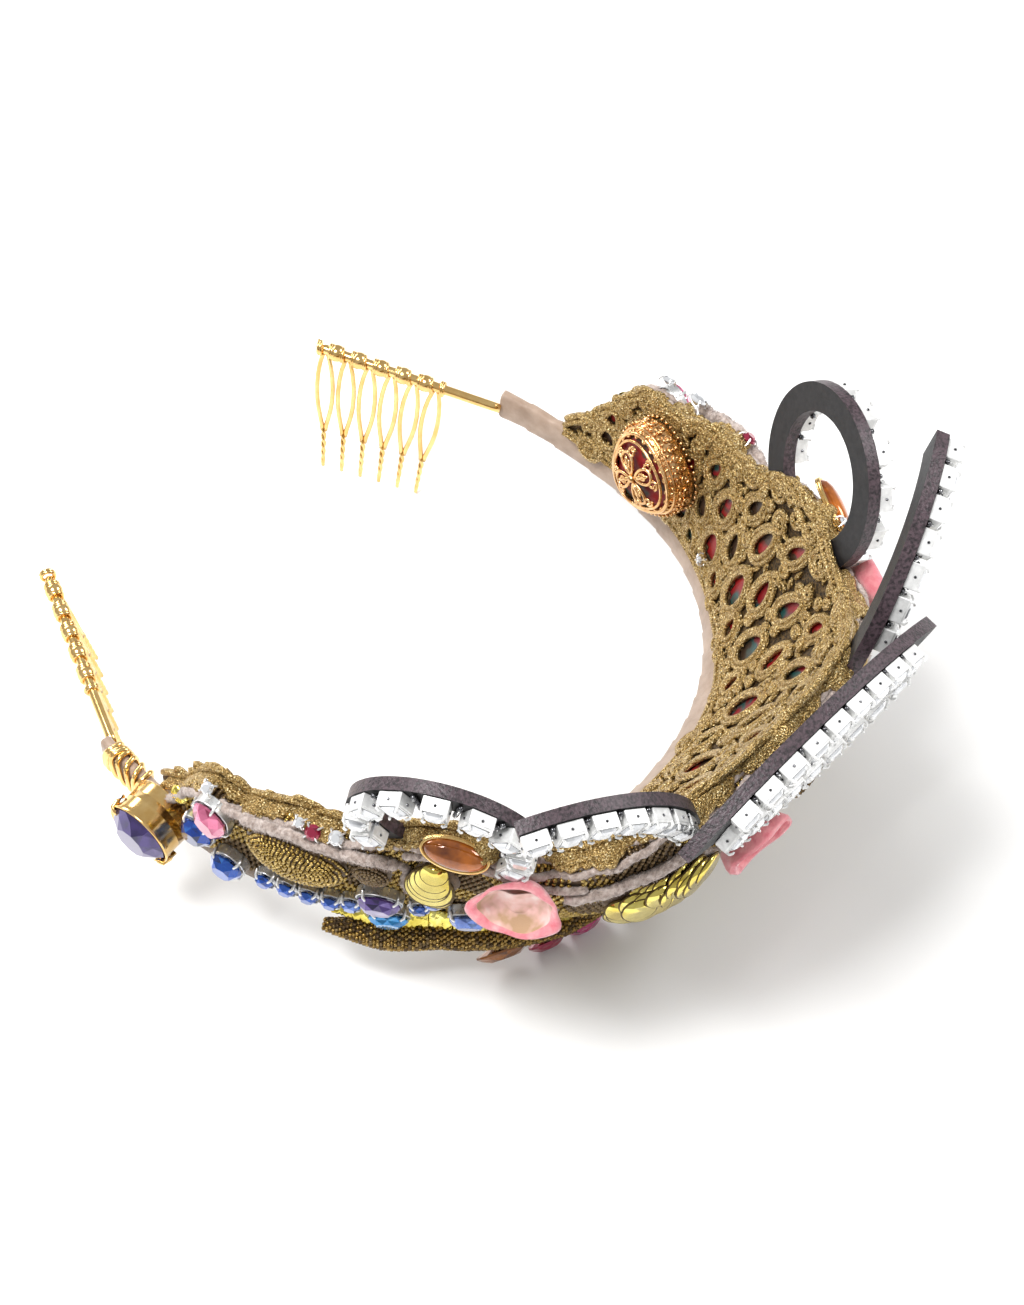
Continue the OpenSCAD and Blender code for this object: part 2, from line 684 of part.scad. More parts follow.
at_rest() claw_cups(1);  // claw_cups_left
at_rest() claw_cups(-1);  // claw_cups_right
at_rest() cup_chain(1);  // cup_chain_left
at_rest() cup_chain(-1);  // cup_chain_right
at_rest() chain_stones(1);  // chain_stones_left
at_rest() chain_stones(-1);  // chain_stones_right
at_rest() hem_stones(1);  // hem_stones_left
at_rest() hem_stones(-1);  // hem_stones_right
at_rest() main_stone(1, ROYAL_ROUND, "royalblue");  // royal_round_left
at_rest() main_stone(-1, ROYAL_ROUND, "royalblue");  // royal_round_right
at_rest() main_stone(1, BLUE_ROUND, "blue");  // blue_round_left
at_rest() main_stone(-1, BLUE_ROUND, "blue");  // blue_round_right
at_rest() main_stone(1, PINK_PEAR, "hotpink");  // pink_pear_left
at_rest() main_stone(-1, PINK_PEAR, "hotpink");  // pink_pear_right
at_rest() main_stone(1, VIOLET_OVAL, "mediumpurple");  // violet_oval_left
at_rest() main_stone(-1, VIOLET_OVAL, "mediumpurple");  // violet_oval_right
at_rest() main_stone(1, AQUA_OVAL, "deepskyblue");  // aqua_oval_left
at_rest() main_stone(-1, AQUA_OVAL, "deepskyblue");  // aqua_oval_right
at_rest() main_stone(1, SKY_OVAL, "cornflowerblue");  // sky_oval_left
at_rest() main_stone(-1, SKY_OVAL, "cornflowerblue");  // sky_oval_right
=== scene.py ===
"""Baroque diadem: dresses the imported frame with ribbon, gold-cord lace, wire, beads, sequins, foil,
chenille, flock, cut stones and acrylic. Lengths are millimetres in the wearer's frame until rest()
turns them into the row frame in metres."""
import math
import random

import bpy
import numpy as np
from mathutils import Matrix, Vector


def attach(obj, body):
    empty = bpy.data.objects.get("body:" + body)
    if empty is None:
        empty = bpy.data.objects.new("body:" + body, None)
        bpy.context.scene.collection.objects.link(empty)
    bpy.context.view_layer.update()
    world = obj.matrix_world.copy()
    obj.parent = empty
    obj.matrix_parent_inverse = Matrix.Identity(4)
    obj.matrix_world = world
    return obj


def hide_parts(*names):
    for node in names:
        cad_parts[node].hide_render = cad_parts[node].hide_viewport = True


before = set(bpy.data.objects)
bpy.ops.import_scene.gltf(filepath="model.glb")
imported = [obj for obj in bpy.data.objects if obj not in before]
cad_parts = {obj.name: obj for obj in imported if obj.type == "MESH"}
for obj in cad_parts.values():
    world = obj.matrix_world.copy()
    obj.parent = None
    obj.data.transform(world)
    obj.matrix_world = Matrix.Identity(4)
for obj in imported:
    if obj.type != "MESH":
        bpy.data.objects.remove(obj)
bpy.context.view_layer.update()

# shared form, as in the source
HALF_WIDTH, DEPTH, POWER = 66.0, 68.5, 2.37
TILT, LIFT, SHIFT, SIDE = math.radians(5), 22.36, 35.7, 2.2
FLARE = np.array([  # plan angle, slope, curl
    (0, .89, .0044), (15, .89, .0044), (25, .78, .0035), (33, .58, .0021), (41, .40, .0008),
    (55, .25, 0), (70, .185, 0), (90, .123, 0), (110, .105, 0)])
WALL_TOP = np.array([  # plan angle, height
    (0, 62), (13, 61), (19, 57), (25, 52), (31, 51), (37, 55), (44, 52), (50, 45), (58, 41),
    (64, 41.5), (70, 36.5), (75, 34), (80, 34.5), (84, 29.5), (88, 19.5), (92, 11), (110, 8)])
BAND_HIGH, BAND_THICK = 7.2, 3.0
WALL_FOOT, WALL_END, BAND_END = BAND_HIGH + .3, 92, 105
BACKING, PLATE_AT, PLATE = 4.1, 1.6, 3.0
OVAL_AT = BACKING + 0.9 + PLATE / 2
HEM_R = 3.7


def signed_power(v, e):
    return np.sign(v) * np.abs(v) ** e


def wall_top(u):
    return np.interp(np.abs(u), WALL_TOP[:, 0], WALL_TOP[:, 1])


def backing_out(u, z):
    pad = np.interp(np.abs(u), (0, 18, 30, 40), (7, 6.8, 3, 0))
    return BACKING + pad * np.interp(z, (0, 26, 42, 57), (.75, 1, .8, 0))


def seat(u, z):
    return backing_out(u, z) + 0.3


def wall(u, z):
    u, z = np.broadcast_arrays(np.asarray(u, float), np.asarray(z, float))
    s, c = np.sin(np.radians(u)), np.cos(np.radians(u))
    x = HALF_WIDTH * signed_power(s, 2 / POWER)
    y = -DEPTH * signed_power(c, 2 / POWER)
    ox = signed_power(x / HALF_WIDTH, POWER - 1) / HALF_WIDTH
    oy = signed_power(y / DEPTH, POWER - 1) / DEPTH
    k = np.hypot(ox, oy)
    slope = np.interp(np.abs(u), FLARE[:, 0], FLARE[:, 1])
    curl = np.interp(np.abs(u), FLARE[:, 0], FLARE[:, 2])
    t = slope * z - curl * z * z
    return np.stack([x + ox / k * t, y + oy / k * t, z], -1)


def unit(v):
    v = np.asarray(v, float)
    return v / np.maximum(np.linalg.norm(v, axis=-1, keepdims=True), 1e-9)


def circle(count):
    """Angles of even steps round a circle."""
    return np.linspace(0, 2 * math.pi, count, endpoint=False)


def cos_sin(degrees):
    return math.cos(math.radians(degrees)), math.sin(math.radians(degrees))


def axes(u, z):
    """Directions on the wall: along it, up it and outward."""
    along = unit(wall(np.asarray(u) + .2, z) - wall(np.asarray(u) - .2, z))
    up = wall(u, np.asarray(z) + .2) - wall(u, np.asarray(z) - .2)
    out = unit(np.cross(along, up))
    return along, np.cross(out, along), out


def at(u, z, n):
    return wall(u, z) + np.asarray(n, float)[..., None] * axes(u, z)[2]


def mm_per_degree(u, z):
    return np.linalg.norm(wall(np.asarray(u) + .5, z) - wall(np.asarray(u) - .5, z), axis=-1)


def rise(u, z):
    return 2 / np.linalg.norm(wall(u, np.asarray(z) + 1.) - wall(u, np.asarray(z) - 1.), axis=-1)


def off(u, z, x, y):
    """Plan angle and height of a point x mm along and y mm up the wall from (u, z)."""
    return u + x / mm_per_degree(u, z), z + y * rise(u, z)


def rest(p):
    p = np.asarray(p, float)
    c, s = math.cos(TILT), math.sin(TILT)
    y, z = p[..., 1], p[..., 2]
    return np.stack([p[..., 0] + SIDE, y * c - z * s + SHIFT, y * s + z * c + LIFT], -1) / 1000


def place(u, z, n, spin=0.0):
    """Frame on the wall: origin and three axes, turned by spin degrees about the outward one."""
    x, y, out = axes(u, z)
    c, s = cos_sin(spin)
    return at(u, z, n), np.stack([x * c + y * s, y * c - x * s, out], -2)


# mesh building
def in_scene(name, data):
    obj = bpy.data.objects.new(name, data)
    bpy.context.scene.collection.objects.link(obj)
    return obj


class Build:
    """Gathers points and faces of one piece, in millimetres in the wearer's frame."""

    def __init__(self):
        self.points, self.faces, self.slots, self.count = [], [], [], 0

    def add(self, points, faces, slot=0):
        points = np.asarray(points, float).reshape(-1, 3)
        self.points.append(points)
        self.faces += [tuple(i + self.count for i in f) for f in faces]
        self.slots += [slot] * len(faces)
        self.count += len(points)

    def many(self, points, faces, places, slot=0):
        """Copies of one shape: places is a list of (origin, axes, scale)."""
        points = np.asarray(points, float)
        for origin, frame_axes, scale in places:
            self.add(origin + (points * scale) @ frame_axes, faces, slot)

    def bead(self, origin, radius, slot=0):
        self.many(*BEAD, [(origin, np.eye(3), radius)], slot)

    def mirrored(self):
        other = Build()
        other.points = [p * (-1, 1, 1) for p in self.points]
        other.faces = [f[::-1] for f in self.faces]
        other.slots, other.count = list(self.slots), self.count
        return other

    def piece(self, name, materials, replaces=(), smooth=True, slot=None):
        mesh = bpy.data.meshes.new(name)
        mesh.from_pydata(rest(np.concatenate(self.points)).tolist(), [], self.faces)
        mesh.validate()
        for m in materials:
            mesh.materials.append(m)
        if len(mesh.polygons) == len(self.slots):
            mesh.polygons.foreach_set("material_index", self.slots)
        mesh.polygons.foreach_set("use_smooth", [smooth] * len(mesh.polygons))
        mesh.update()
        obj = in_scene(name, mesh)
        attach(obj, "root")
        if replaces:
            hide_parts(*([replaces] if isinstance(replaces, str) else replaces))
        return obj


def both(build):
    """The left side's build, and its mirror image for the right side."""
    return ("left", build), ("right", build.mirrored())


def thicken(obj, mm, offset=-1):
    solid = obj.modifiers.new("thick", "SOLIDIFY")
    solid.thickness, solid.offset = mm / 1000, offset


def grid_faces(rows, cols, wrap=False):
    return [(i * cols + j, i * cols + (j + 1) % cols, (i + 1) * cols + (j + 1) % cols,
             (i + 1) * cols + j)
            for i in range(rows - 1) for j in range(cols if wrap else cols - 1)]


def caps(rows, cols):
    """End faces of a grid that wraps round."""
    return [tuple(range(cols - 1, -1, -1)), tuple(range((rows - 1) * cols, rows * cols))]


def tube(path, r, sides=6, closed=False, flat=1.0, up=(0.01, 0.02, 1)):
    """Points and faces of a round or flattened tube along a path."""
    path = np.asarray(path, float)
    m = len(path)
    if closed:
        t = unit(np.roll(path, -1, 0) - np.roll(path, 1, 0))
    else:
        t = unit(np.concatenate([path[1:], path[-1:]]) - np.concatenate([path[:1], path[:-1]]))
    up = np.broadcast_to(np.asarray(up, float), t.shape)
    x = unit(np.cross(t, up))
    y = np.cross(x, t)
    w = circle(sides)
    r = np.broadcast_to(np.asarray(r, float), (m,))[:, None, None]
    pts = path[:, None] + r * (np.cos(w)[None, :, None] * x[:, None] * flat
                               + np.sin(w)[None, :, None] * y[:, None])
    faces = grid_faces(m, sides, True)
    if closed:
        last = (m - 1) * sides
        faces += [(last + j, last + (j + 1) % sides, (j + 1) % sides, j) for j in range(sides)]
    else:
        faces += caps(m, sides)
    return pts.reshape(-1, 3), faces


def bead_shape(sides=6, rows=3):
    """Low round bead of radius 1."""
    pts, faces = [(0, 0, -1)], []
    for i in range(1, rows + 1):
        w = -math.pi / 2 + math.pi * i / (rows + 1)
        pts += [(math.cos(w) * math.cos(2 * math.pi * (j + i / 2) / sides),
                 math.cos(w) * math.sin(2 * math.pi * (j + i / 2) / sides), math.sin(w))
                for j in range(sides)]
    pts.append((0, 0, 1))
    last = len(pts) - 1
    for j in range(sides):
        k = (j + 1) % sides
        faces.append((0, 1 + k, 1 + j))
        for i in range(rows - 1):
            a, b = 1 + i * sides, 1 + (i + 1) * sides
            faces.append((a + j, a + k, b + k, b + j))
        faces.append((last, last - sides + j, last - sides + k))
    return np.array(pts), faces


BEAD = bead_shape(5, 2)
FINE_BEAD = bead_shape(10, 6)


def lathe(profile, sides=24, squash=(1, 1)):
    """Turned shape from rows (radius, height)."""
    pts = [(r * squash[0] * math.cos(2 * math.pi * j / sides),
            r * squash[1] * math.sin(2 * math.pi * j / sides), h)
           for r, h in profile for j in range(sides)]
    return np.array(pts), grid_faces(len(profile), sides, True) + caps(len(profile), sides)


# materials
def nodes_of(name):
    m = bpy.data.materials.new(name)
    m.use_nodes = True
    tree = m.node_tree
    return m, tree, tree.nodes["Principled BSDF"]


def noise(tree, scale, detail=3.0, kind="noise"):
    n = tree.nodes
    tc = n.new("ShaderNodeTexCoord")
    if kind == "noise":
        t = n.new("ShaderNodeTexNoise")
        t.inputs["Detail"].default_value = detail
        t.inputs["Roughness"].default_value = .55
        out = t.outputs["Fac"]
    elif kind == "voronoi":
        t = n.new("ShaderNodeTexVoronoi")
        out = t.outputs["Distance"]
    else:
        t = n.new("ShaderNodeTexWave")
        t.bands_direction = kind
        t.inputs["Distortion"].default_value = 1.0
        t.inputs["Detail"].default_value = 1.0
        out = t.outputs["Fac"]
    t.inputs["Scale"].default_value = scale
    tree.links.new(tc.outputs["Object"], t.inputs["Vector"])
    return out


def ramp(tree, fac, stops):
    r = tree.nodes.new("ShaderNodeValToRGB")
    while len(r.color_ramp.elements) > 2:
        r.color_ramp.elements.remove(r.color_ramp.elements[-1])
    for i, (pos, col) in enumerate(stops):
        e = r.color_ramp.elements[i] if i < 2 else r.color_ramp.elements.new(pos)
        e.position = pos
        e.color = (*col, 1)
    tree.links.new(fac, r.inputs["Fac"])
    return r.outputs["Color"]


def level(tree, fac, low, high):
    r = tree.nodes.new("ShaderNodeMapRange")
    r.inputs["To Min"].default_value = low
    r.inputs["To Max"].default_value = high
    tree.links.new(fac, r.inputs["Value"])
    return r.outputs["Result"]


def bump(tree, bsdf, *heights):
    """heights: (socket, strength, depth in mm), laid over each other."""
    last = None
    for fac, strength, depth in heights:
        b = tree.nodes.new("ShaderNodeBump")
        b.inputs["Strength"].default_value = strength
        b.inputs["Distance"].default_value = depth / 1000
        tree.links.new(fac, b.inputs["Height"])
        if last:
            tree.links.new(last, b.inputs["Normal"])
        last = b.outputs["Normal"]
    tree.links.new(last, bsdf.inputs["Normal"])


def simple(name, stops, scale, rough=(.3, .5), metal=0.0, bumps=(), **more):
    """Material of a varied colour, varied roughness and fine relief.
    bumps: (scale, kind of noise, strength, depth in mm)."""
    m, tree, bsdf = nodes_of(name)
    links = tree.links
    links.new(ramp(tree, noise(tree, scale), stops), bsdf.inputs["Base Color"])
    links.new(level(tree, noise(tree, scale * 2.3), *rough), bsdf.inputs["Roughness"])
    bsdf.inputs["Metallic"].default_value = metal
    for key, value in more.items():
        bsdf.inputs[key.replace("_", " ")].default_value = value
    if bumps:
        bump(tree, bsdf, *[(noise(tree, s, kind=k), strength, depth)
                           for s, k, strength, depth in bumps])
    return m


SATIN = simple("satin", [(.3, (.30, .205, .145)), (.7, (.44, .325, .25))], 260, (.34, .5),
               bumps=[(1900, "DIAGONAL", .5, .08), (700, "noise", .25, .2)],
               Sheen_Weight=.35, Sheen_Roughness=.35)
GOLD_CORD = simple("gold_cord", [(.3, (.10, .055, .015)), (.46, (.34, .215, .07)), (.58, (.56, .39, .15)),
                                 (.68, (1, .88, .55))], 2600, (.15, .5), .75,
                   [(2300, "voronoi", 1, .4), (5200, "noise", .6, .15)])
# near-black net colour: painted shade in the gaps between the lace cords
GOLD_NET_SHADE = simple("gold_net_painted_shade", [(.4, (.02, .011, .004)), (.75, (.20, .12, .04))], 1500, (.4, .7), .5,
                  [(2600, "voronoi", .9, .25)])
STONE_BACKS = simple("felt_and_stone_backs",
                     [(.0, (.03, .018, .012)), (.45, (.045, .022, .012)), (.49, (.30, .010, .012)),
                      (.56, (.20, .008, .012)), (.6, (.01, .075, .07)), (.66, (.04, .022, .012))],
                     70, (.2, .6), 0, [(1500, "noise", .5, .2)])
FELT = simple("brown_felt", [(.3, (.09, .055, .03)), (.7, (.18, .115, .06))], 900, (.8, .95), 0,
              [(2600, "noise", .7, .2)], Sheen_Weight=.3)
GILT = simple("gilt_wire", [(.3, (.80, .50, .17)), (.7, (.95, .68, .30))], 300, (.12, .24), 1.0,
              [(1500, "noise", .12, .05)])
GILT_DARK = simple("gilt_filigree", [(.25, (.50, .25, .08)), (.6, (.86, .54, .26)), (.8, (.98, .74, .46))],
                   330, (.16, .34), 1.0, [(1900, "voronoi", .3, .12)])
BEADS = simple("bronze_beads", [(.3, (.16, .085, .02)), (.5, (.36, .225, .06)), (.7, (.66, .46, .17))],
               900, (.15, .35), .8, [(3000, "noise", .2, .04)])
SEED = simple("seed_beads", [(.3, (.15, .09, .02)), (.5, (.36, .24, .06)), (.68, (.78, .58, .22))],
              900, (.12, .3), .9, [(3000, "noise", .2, .04)])
DARK_SEED = simple("dark_seed_beads",
                   [(.3, (.075, .045, .02)), (.55, (.17, .11, .05)), (.75, (.34, .25, .12))],
                   800, (.2, .38), .7, [(3000, "noise", .2, .04)])
SEQUIN = simple("mirror_sequins", [(.3, (.62, .46, .07)), (.7, (.92, .80, .24))], 160, (.04, .12), 1.0,
                [(420, "noise", .12, .2)])
# dark rim colour of the sequins: painted shade where one sequin laps the next
SEQUIN_EDGE_SHADE = simple("sequin_edge_painted_shade", [(.3, (.05, .03, .008)), (.7, (.16, .10, .02))], 900, (.3, .5), .6)
FOIL = simple("crinkled_foil", [(.3, (.50, .38, .05)), (.55, (.80, .68, .15)), (.7, (.96, .88, .34))],
              260, (.06, .2), 1.0, [(330, "noise", .55, 1.0), (900, "voronoi", .3, .4)])
TOP_GOLD = simple("orange_gold_cloth",
                  [(.3, (.42, .20, .03)), (.55, (.78, .48, .12)), (.7, (.98, .80, .34))],
                  420, (.08, .3), 1.0, [(500, "noise", .6, .8), (1200, "voronoi", .3, .3)])
CHENILLE = simple("chenille", [(.3, (.24, .17, .14)), (.5, (.46, .36, .31)), (.7, (.66, .56, .51))],
                  900, (.85, 1.0), 0, [(2400, "noise", 1.0, .5), (5200, "noise", .6, .2)],
                  Sheen_Weight=.5, Sheen_Roughness=.6)
FLOCK = simple("pink_flock", [(.3, (.78, .17, .22)), (.6, (.90, .34, .37)), (.8, (.95, .52, .52))],
               420, (.85, 1.0), 0, [(3800, "noise", .8, .2)], Sheen_Weight=.7, Sheen_Roughness=.5)
# pale petal of the hollow: pink and cream are its own colour, the brown-beige stop is painted shade of the
# hollow, laid in noise patches
PETAL = simple("pale_petal", [(.34, (.50, .33, .19)), (.5, (.84, .55, .50)), (.66, (.94, .82, .78))],
               150, (.55, .75), 0, [(2400, "noise", .4, .15)], Sheen_Weight=.3)
LEAF = simple("green_leaf", [(.3, (.22, .27, .07)), (.7, (.42, .46, .16))], 300, (.6, .8), 0,
              [(1800, "noise", .4, .2)])
ACRYLIC = simple("black_acrylic", [(.3, (.006, .006, .007)), (.7, (.016, .015, .017))], 500, (.42, .6), 0,
                 [(1400, "Z", .25, .05), (3000, "noise", .12, .03)], Specular_IOR_Level=.3)
CUT_EDGE = simple("ribbed_cut_edge", [(.35, (.012, .008, .010)), (.6, (.075, .048, .058))],
                  1300, (.3, .5), 0, [(1700, "noise", .8, .2)])
SILVER = simple("silver_plate", [(.3, (.66, .66, .66)), (.7, (.86, .86, .85))], 500, (.2, .38), .8,
                [(900, "noise", .2, .08)])
MATT_SILVER = simple("matt_silver", [(.3, (.70, .70, .69)), (.7, (.90, .90, .89))],
                     700, (.38, .55), .45, [(1500, "noise", .2, .06)])
GUN = simple("dark_rhinestones", [(.3, (.02, .02, .024)), (.6, (.16, .16, .17)), (.8, (.62, .62, .64))],
             900, (.06, .2), .9)
AMBER = simple("amber", [(.35, (.10, .018, .002)), (.65, (.52, .14, .008))], 160, (.05, .12), .25,
               Coat_Weight=.8, Coat_Roughness=.04)


def jewel(name, dark, mid, light, metal=.55):
    """Foil-backed cut glass: each facet takes a painted brightness of its own from the way it faces, a
    painted reflection.
    """
    m, tree, bsdf = nodes_of(name)
    n, links = tree.nodes, tree.links
    # noise of the facet normal gives each facet a painted reflection, dark, mid or bright
    geo = n.new("ShaderNodeNewGeometry")
    t = n.new("ShaderNodeTexNoise")
    t.inputs["Scale"].default_value = 3.1
    t.inputs["Detail"].default_value = 4.0
    t.inputs["Roughness"].default_value = .8
    links.new(geo.outputs["True Normal"], t.inputs["Vector"])
    flaw = noise(tree, 420, 2)
    mix = n.new("ShaderNodeMath")
    mix.operation = "MULTIPLY_ADD"
    mix.inputs[1].default_value = .22
    links.new(flaw, mix.inputs[0])
    links.new(t.outputs["Fac"], mix.inputs[2])
    links.new(ramp(tree, mix.outputs[0], [(.48, dark), (.6, mid), (.7, mid), (.8, light)]),
              bsdf.inputs["Base Color"])
    links.new(level(tree, noise(tree, 260), .03, .09), bsdf.inputs["Roughness"])
    bsdf.inputs["Metallic"].default_value = metal
    bsdf.inputs["IOR"].default_value = 1.6
    bsdf.inputs["Coat Weight"].default_value = .9
    bsdf.inputs["Coat Roughness"].default_value = .02
    bump(tree, bsdf, (noise(tree, 600), .06, .05))
    return m


NARROWING = .45  # share of its width that a pear loses towards its tip
EIGHT_SIDED = ((1, .72), (.72, 1), (-.72, 1), (-1, .72), (-1, -.72), (-.72, -1), (.72, -1), (1, -.72))


def gem(wide, tall, pear=0.0, k=8, table=.58, high=.30, deep=.5):
    """Brilliant cut: table, star, kite and girdle facets, and a pavilion; the girdle at height 0."""
    small = min(wide, tall)

    def ring(f, h, count, turn):
        w = 2 * math.pi * (np.arange(count) + turn) / count
        return np.stack([f * wide / 2 * np.cos(w) * (1 - pear * NARROWING * np.maximum(np.sin(w), 0)),
                         f * tall / 2 * np.sin(w), np.full(count, h * small)], -1)
    pts = np.concatenate([ring(table, high, k, .5), ring(.84, high * .52, k, 0), ring(1, .03, 2 * k, 0),
                          ring(1, -.03, 2 * k, 0), ring(.12, -deep, k, 0)])
    a, b, c, d, e = 0, k, 2 * k, 4 * k, 6 * k
    faces = [tuple(range(k))]
    for j in range(k):
        n1, p = (j + 1) % k, (j - 1) % k
        g = 2 * j
        faces += [(a + p, b + j, a + j),
                  (b + j, c + g, c + (g + 1) % (2 * k)), (b + j, c + (g - 1) % (2 * k), c + g),
                  (b + j, c + g + 1, b + n1), (a + j, b + j, b + n1)]
        faces += [(d + g, d + (g + 1) % (2 * k), e + j), (d + g, e + j, d + (g - 1) % (2 * k)),
                  (e + j, d + g + 1, e + n1)]
    faces += [(c + i, d + i, d + (i + 1) % (2 * k), c + (i + 1) % (2 * k)) for i in range(2 * k)]
    faces.append(tuple(range(7 * k - 1, 6 * k - 1, -1)))
    return pts, faces


def square_cut(side):
    """Princess-like square stone with a stepped crown."""
    h = side / 2
    rows = [(h * .2, -1.5), (h, -.12), (h, .1), (h * .8, .55), (h * .56, .85)]
    pts = [(s * x, s * y, z) for s, z in rows for x, y in EIGHT_SIDED]
    return np.array(pts), grid_faces(len(rows), 8, True) + caps(len(rows), 8)


def claws(wide, tall, pear, low, high, angles=(45, 135, 225, 315), r=.42, reach=.75):
    """Wire claws from the cup over the girdle."""
    out = []
    for w in angles:
        c, s = cos_sin(w)
        x, y = wide / 2 * c * (1 - pear * NARROWING * max(s, 0)), tall / 2 * s
        d = np.array([x, y, 0]) / math.hypot(x, y)
        edge = np.array([x, y, 0])
        path = [edge + d * .35 + (0, 0, low), edge + d * .55 + (0, 0, (low + high) / 2),
                edge + d * .3 + (0, 0, high), edge - d * reach * .5 + (0, 0, high + .42),
                edge - d * reach + (0, 0, high + .45)]
        out.append(tube(path, [r, r, r, r * .95, r * .6], 6))
    return out


# the band: degrees from one lap of the ribbon to the next, its height and where it falls off
LAP_STEP, LAP_HIGH, LAP_AT = 5.6, .30, .93


def satin_band():
    """Ribbon wound round the band at a slant, each turn lapping the one before."""
    b = Build()
    us = np.linspace(-BAND_END, BAND_END, 620)
    rows = []
    k = 18
    for u in us:
        turn = (u + 200) / LAP_STEP
        ring = []
        for j in range(k):
            w = 2 * math.pi * j / k
            c, s = math.cos(w), math.sin(w)
            lap = (turn + .42 * s + .2 * c) % 1
            edge = LAP_HIGH * (lap if lap < LAP_AT else (1 - lap) / (1 - LAP_AT))
            n = BAND_THICK / 2 * (1 + .9 * math.copysign(abs(c) ** .55, c)) + edge * c
            z = BAND_HIGH / 2 * (1 + .94 * math.copysign(abs(s) ** .4, s)) + edge * s
            ring.append((u, z, n))
        rows.append(ring)
    r = np.array(rows)
    b.add(at(r[..., 0], r[..., 1], r[..., 2]), grid_faces(len(us), k, True) + caps(len(us), k))
    b.piece("satin_ribbon_wrap", [SATIN], "headband", slot="satin_ribbon")


# wall: padding and lace
SPAN, REPEATS = 174.0, 14
PITCH_ALONG = SPAN / REPEATS
PAD_DROP = 2.3  # the padding's top below the lace's
OPENINGS = [  # mm along, share of height, width, share as height, tilt
    (-.5, .26, 5.4, .22, 0), (.5, .60, 3.8, .22, 14), (6.8, .13, 3.0, .11, -20),
    (6.8, .42, 3.8, .19, -10), (6.8, .76, 3.2, .17, 22)]


def lace_holes():
    """Every opening of the lace: plan angle, height, half width, half height, tilt."""
    out = []
    for k in range(REPEATS):
        for x, share, wide, high, tilt in OPENINGS:
            u = -SPAN / 2 + PITCH_ALONG * (k + .35) + x * PITCH_ALONG / 13
            tall = wall_top(u) - WALL_FOOT
            if high * tall > 2.6:
                out.append((u, WALL_FOOT + share * tall, wide / 2, max(high * tall, wide) / 2 + .2, tilt))
    return out


def padding():
    """Felt wall under everything: its inside shows the backs of the stones through the lace."""
    b = Build()
    us = np.linspace(-WALL_END, WALL_END, 116)
    k = 18
    share = np.linspace(0, 1, k)
    uu = us[:, None]
    top = wall_top(us)[:, None] - PAD_DROP
    z = .5 + (top - .5) * share
    wave = .25 * np.sin(uu * .9) * np.sin(z * .35)
    outer = at(uu + 0 * z, z, backing_out(uu, z) + wave)
    zi = np.maximum(z, WALL_FOOT)[:, ::-1]
    inner = at(uu + 0 * zi, zi, np.where(z[:, ::-1] < WALL_FOOT, 3.4, 0 * zi))
    pts = np.concatenate([outer, inner], 1)
    faces = grid_faces(len(us), 2 * k, True)
    b.add(pts, faces + caps(len(us), 2 * k))
    b.slots[:len(faces)] = [int(k <= i % (2 * k) < 2 * k - 1) for i in range(len(faces))]
    obj = b.piece("felt_padding", [FELT, STONE_BACKS], "backing", slot="felt_backing")


def spiral(turns, r0, r1, start, hand, count):
    w = np.linspace(0, 1, count)
    r = r0 + (r1 - r0) * w ** .8
    a = start + hand * 2 * math.pi * turns * w
    return np.stack([r * np.cos(a), r * np.sin(a)], -1)


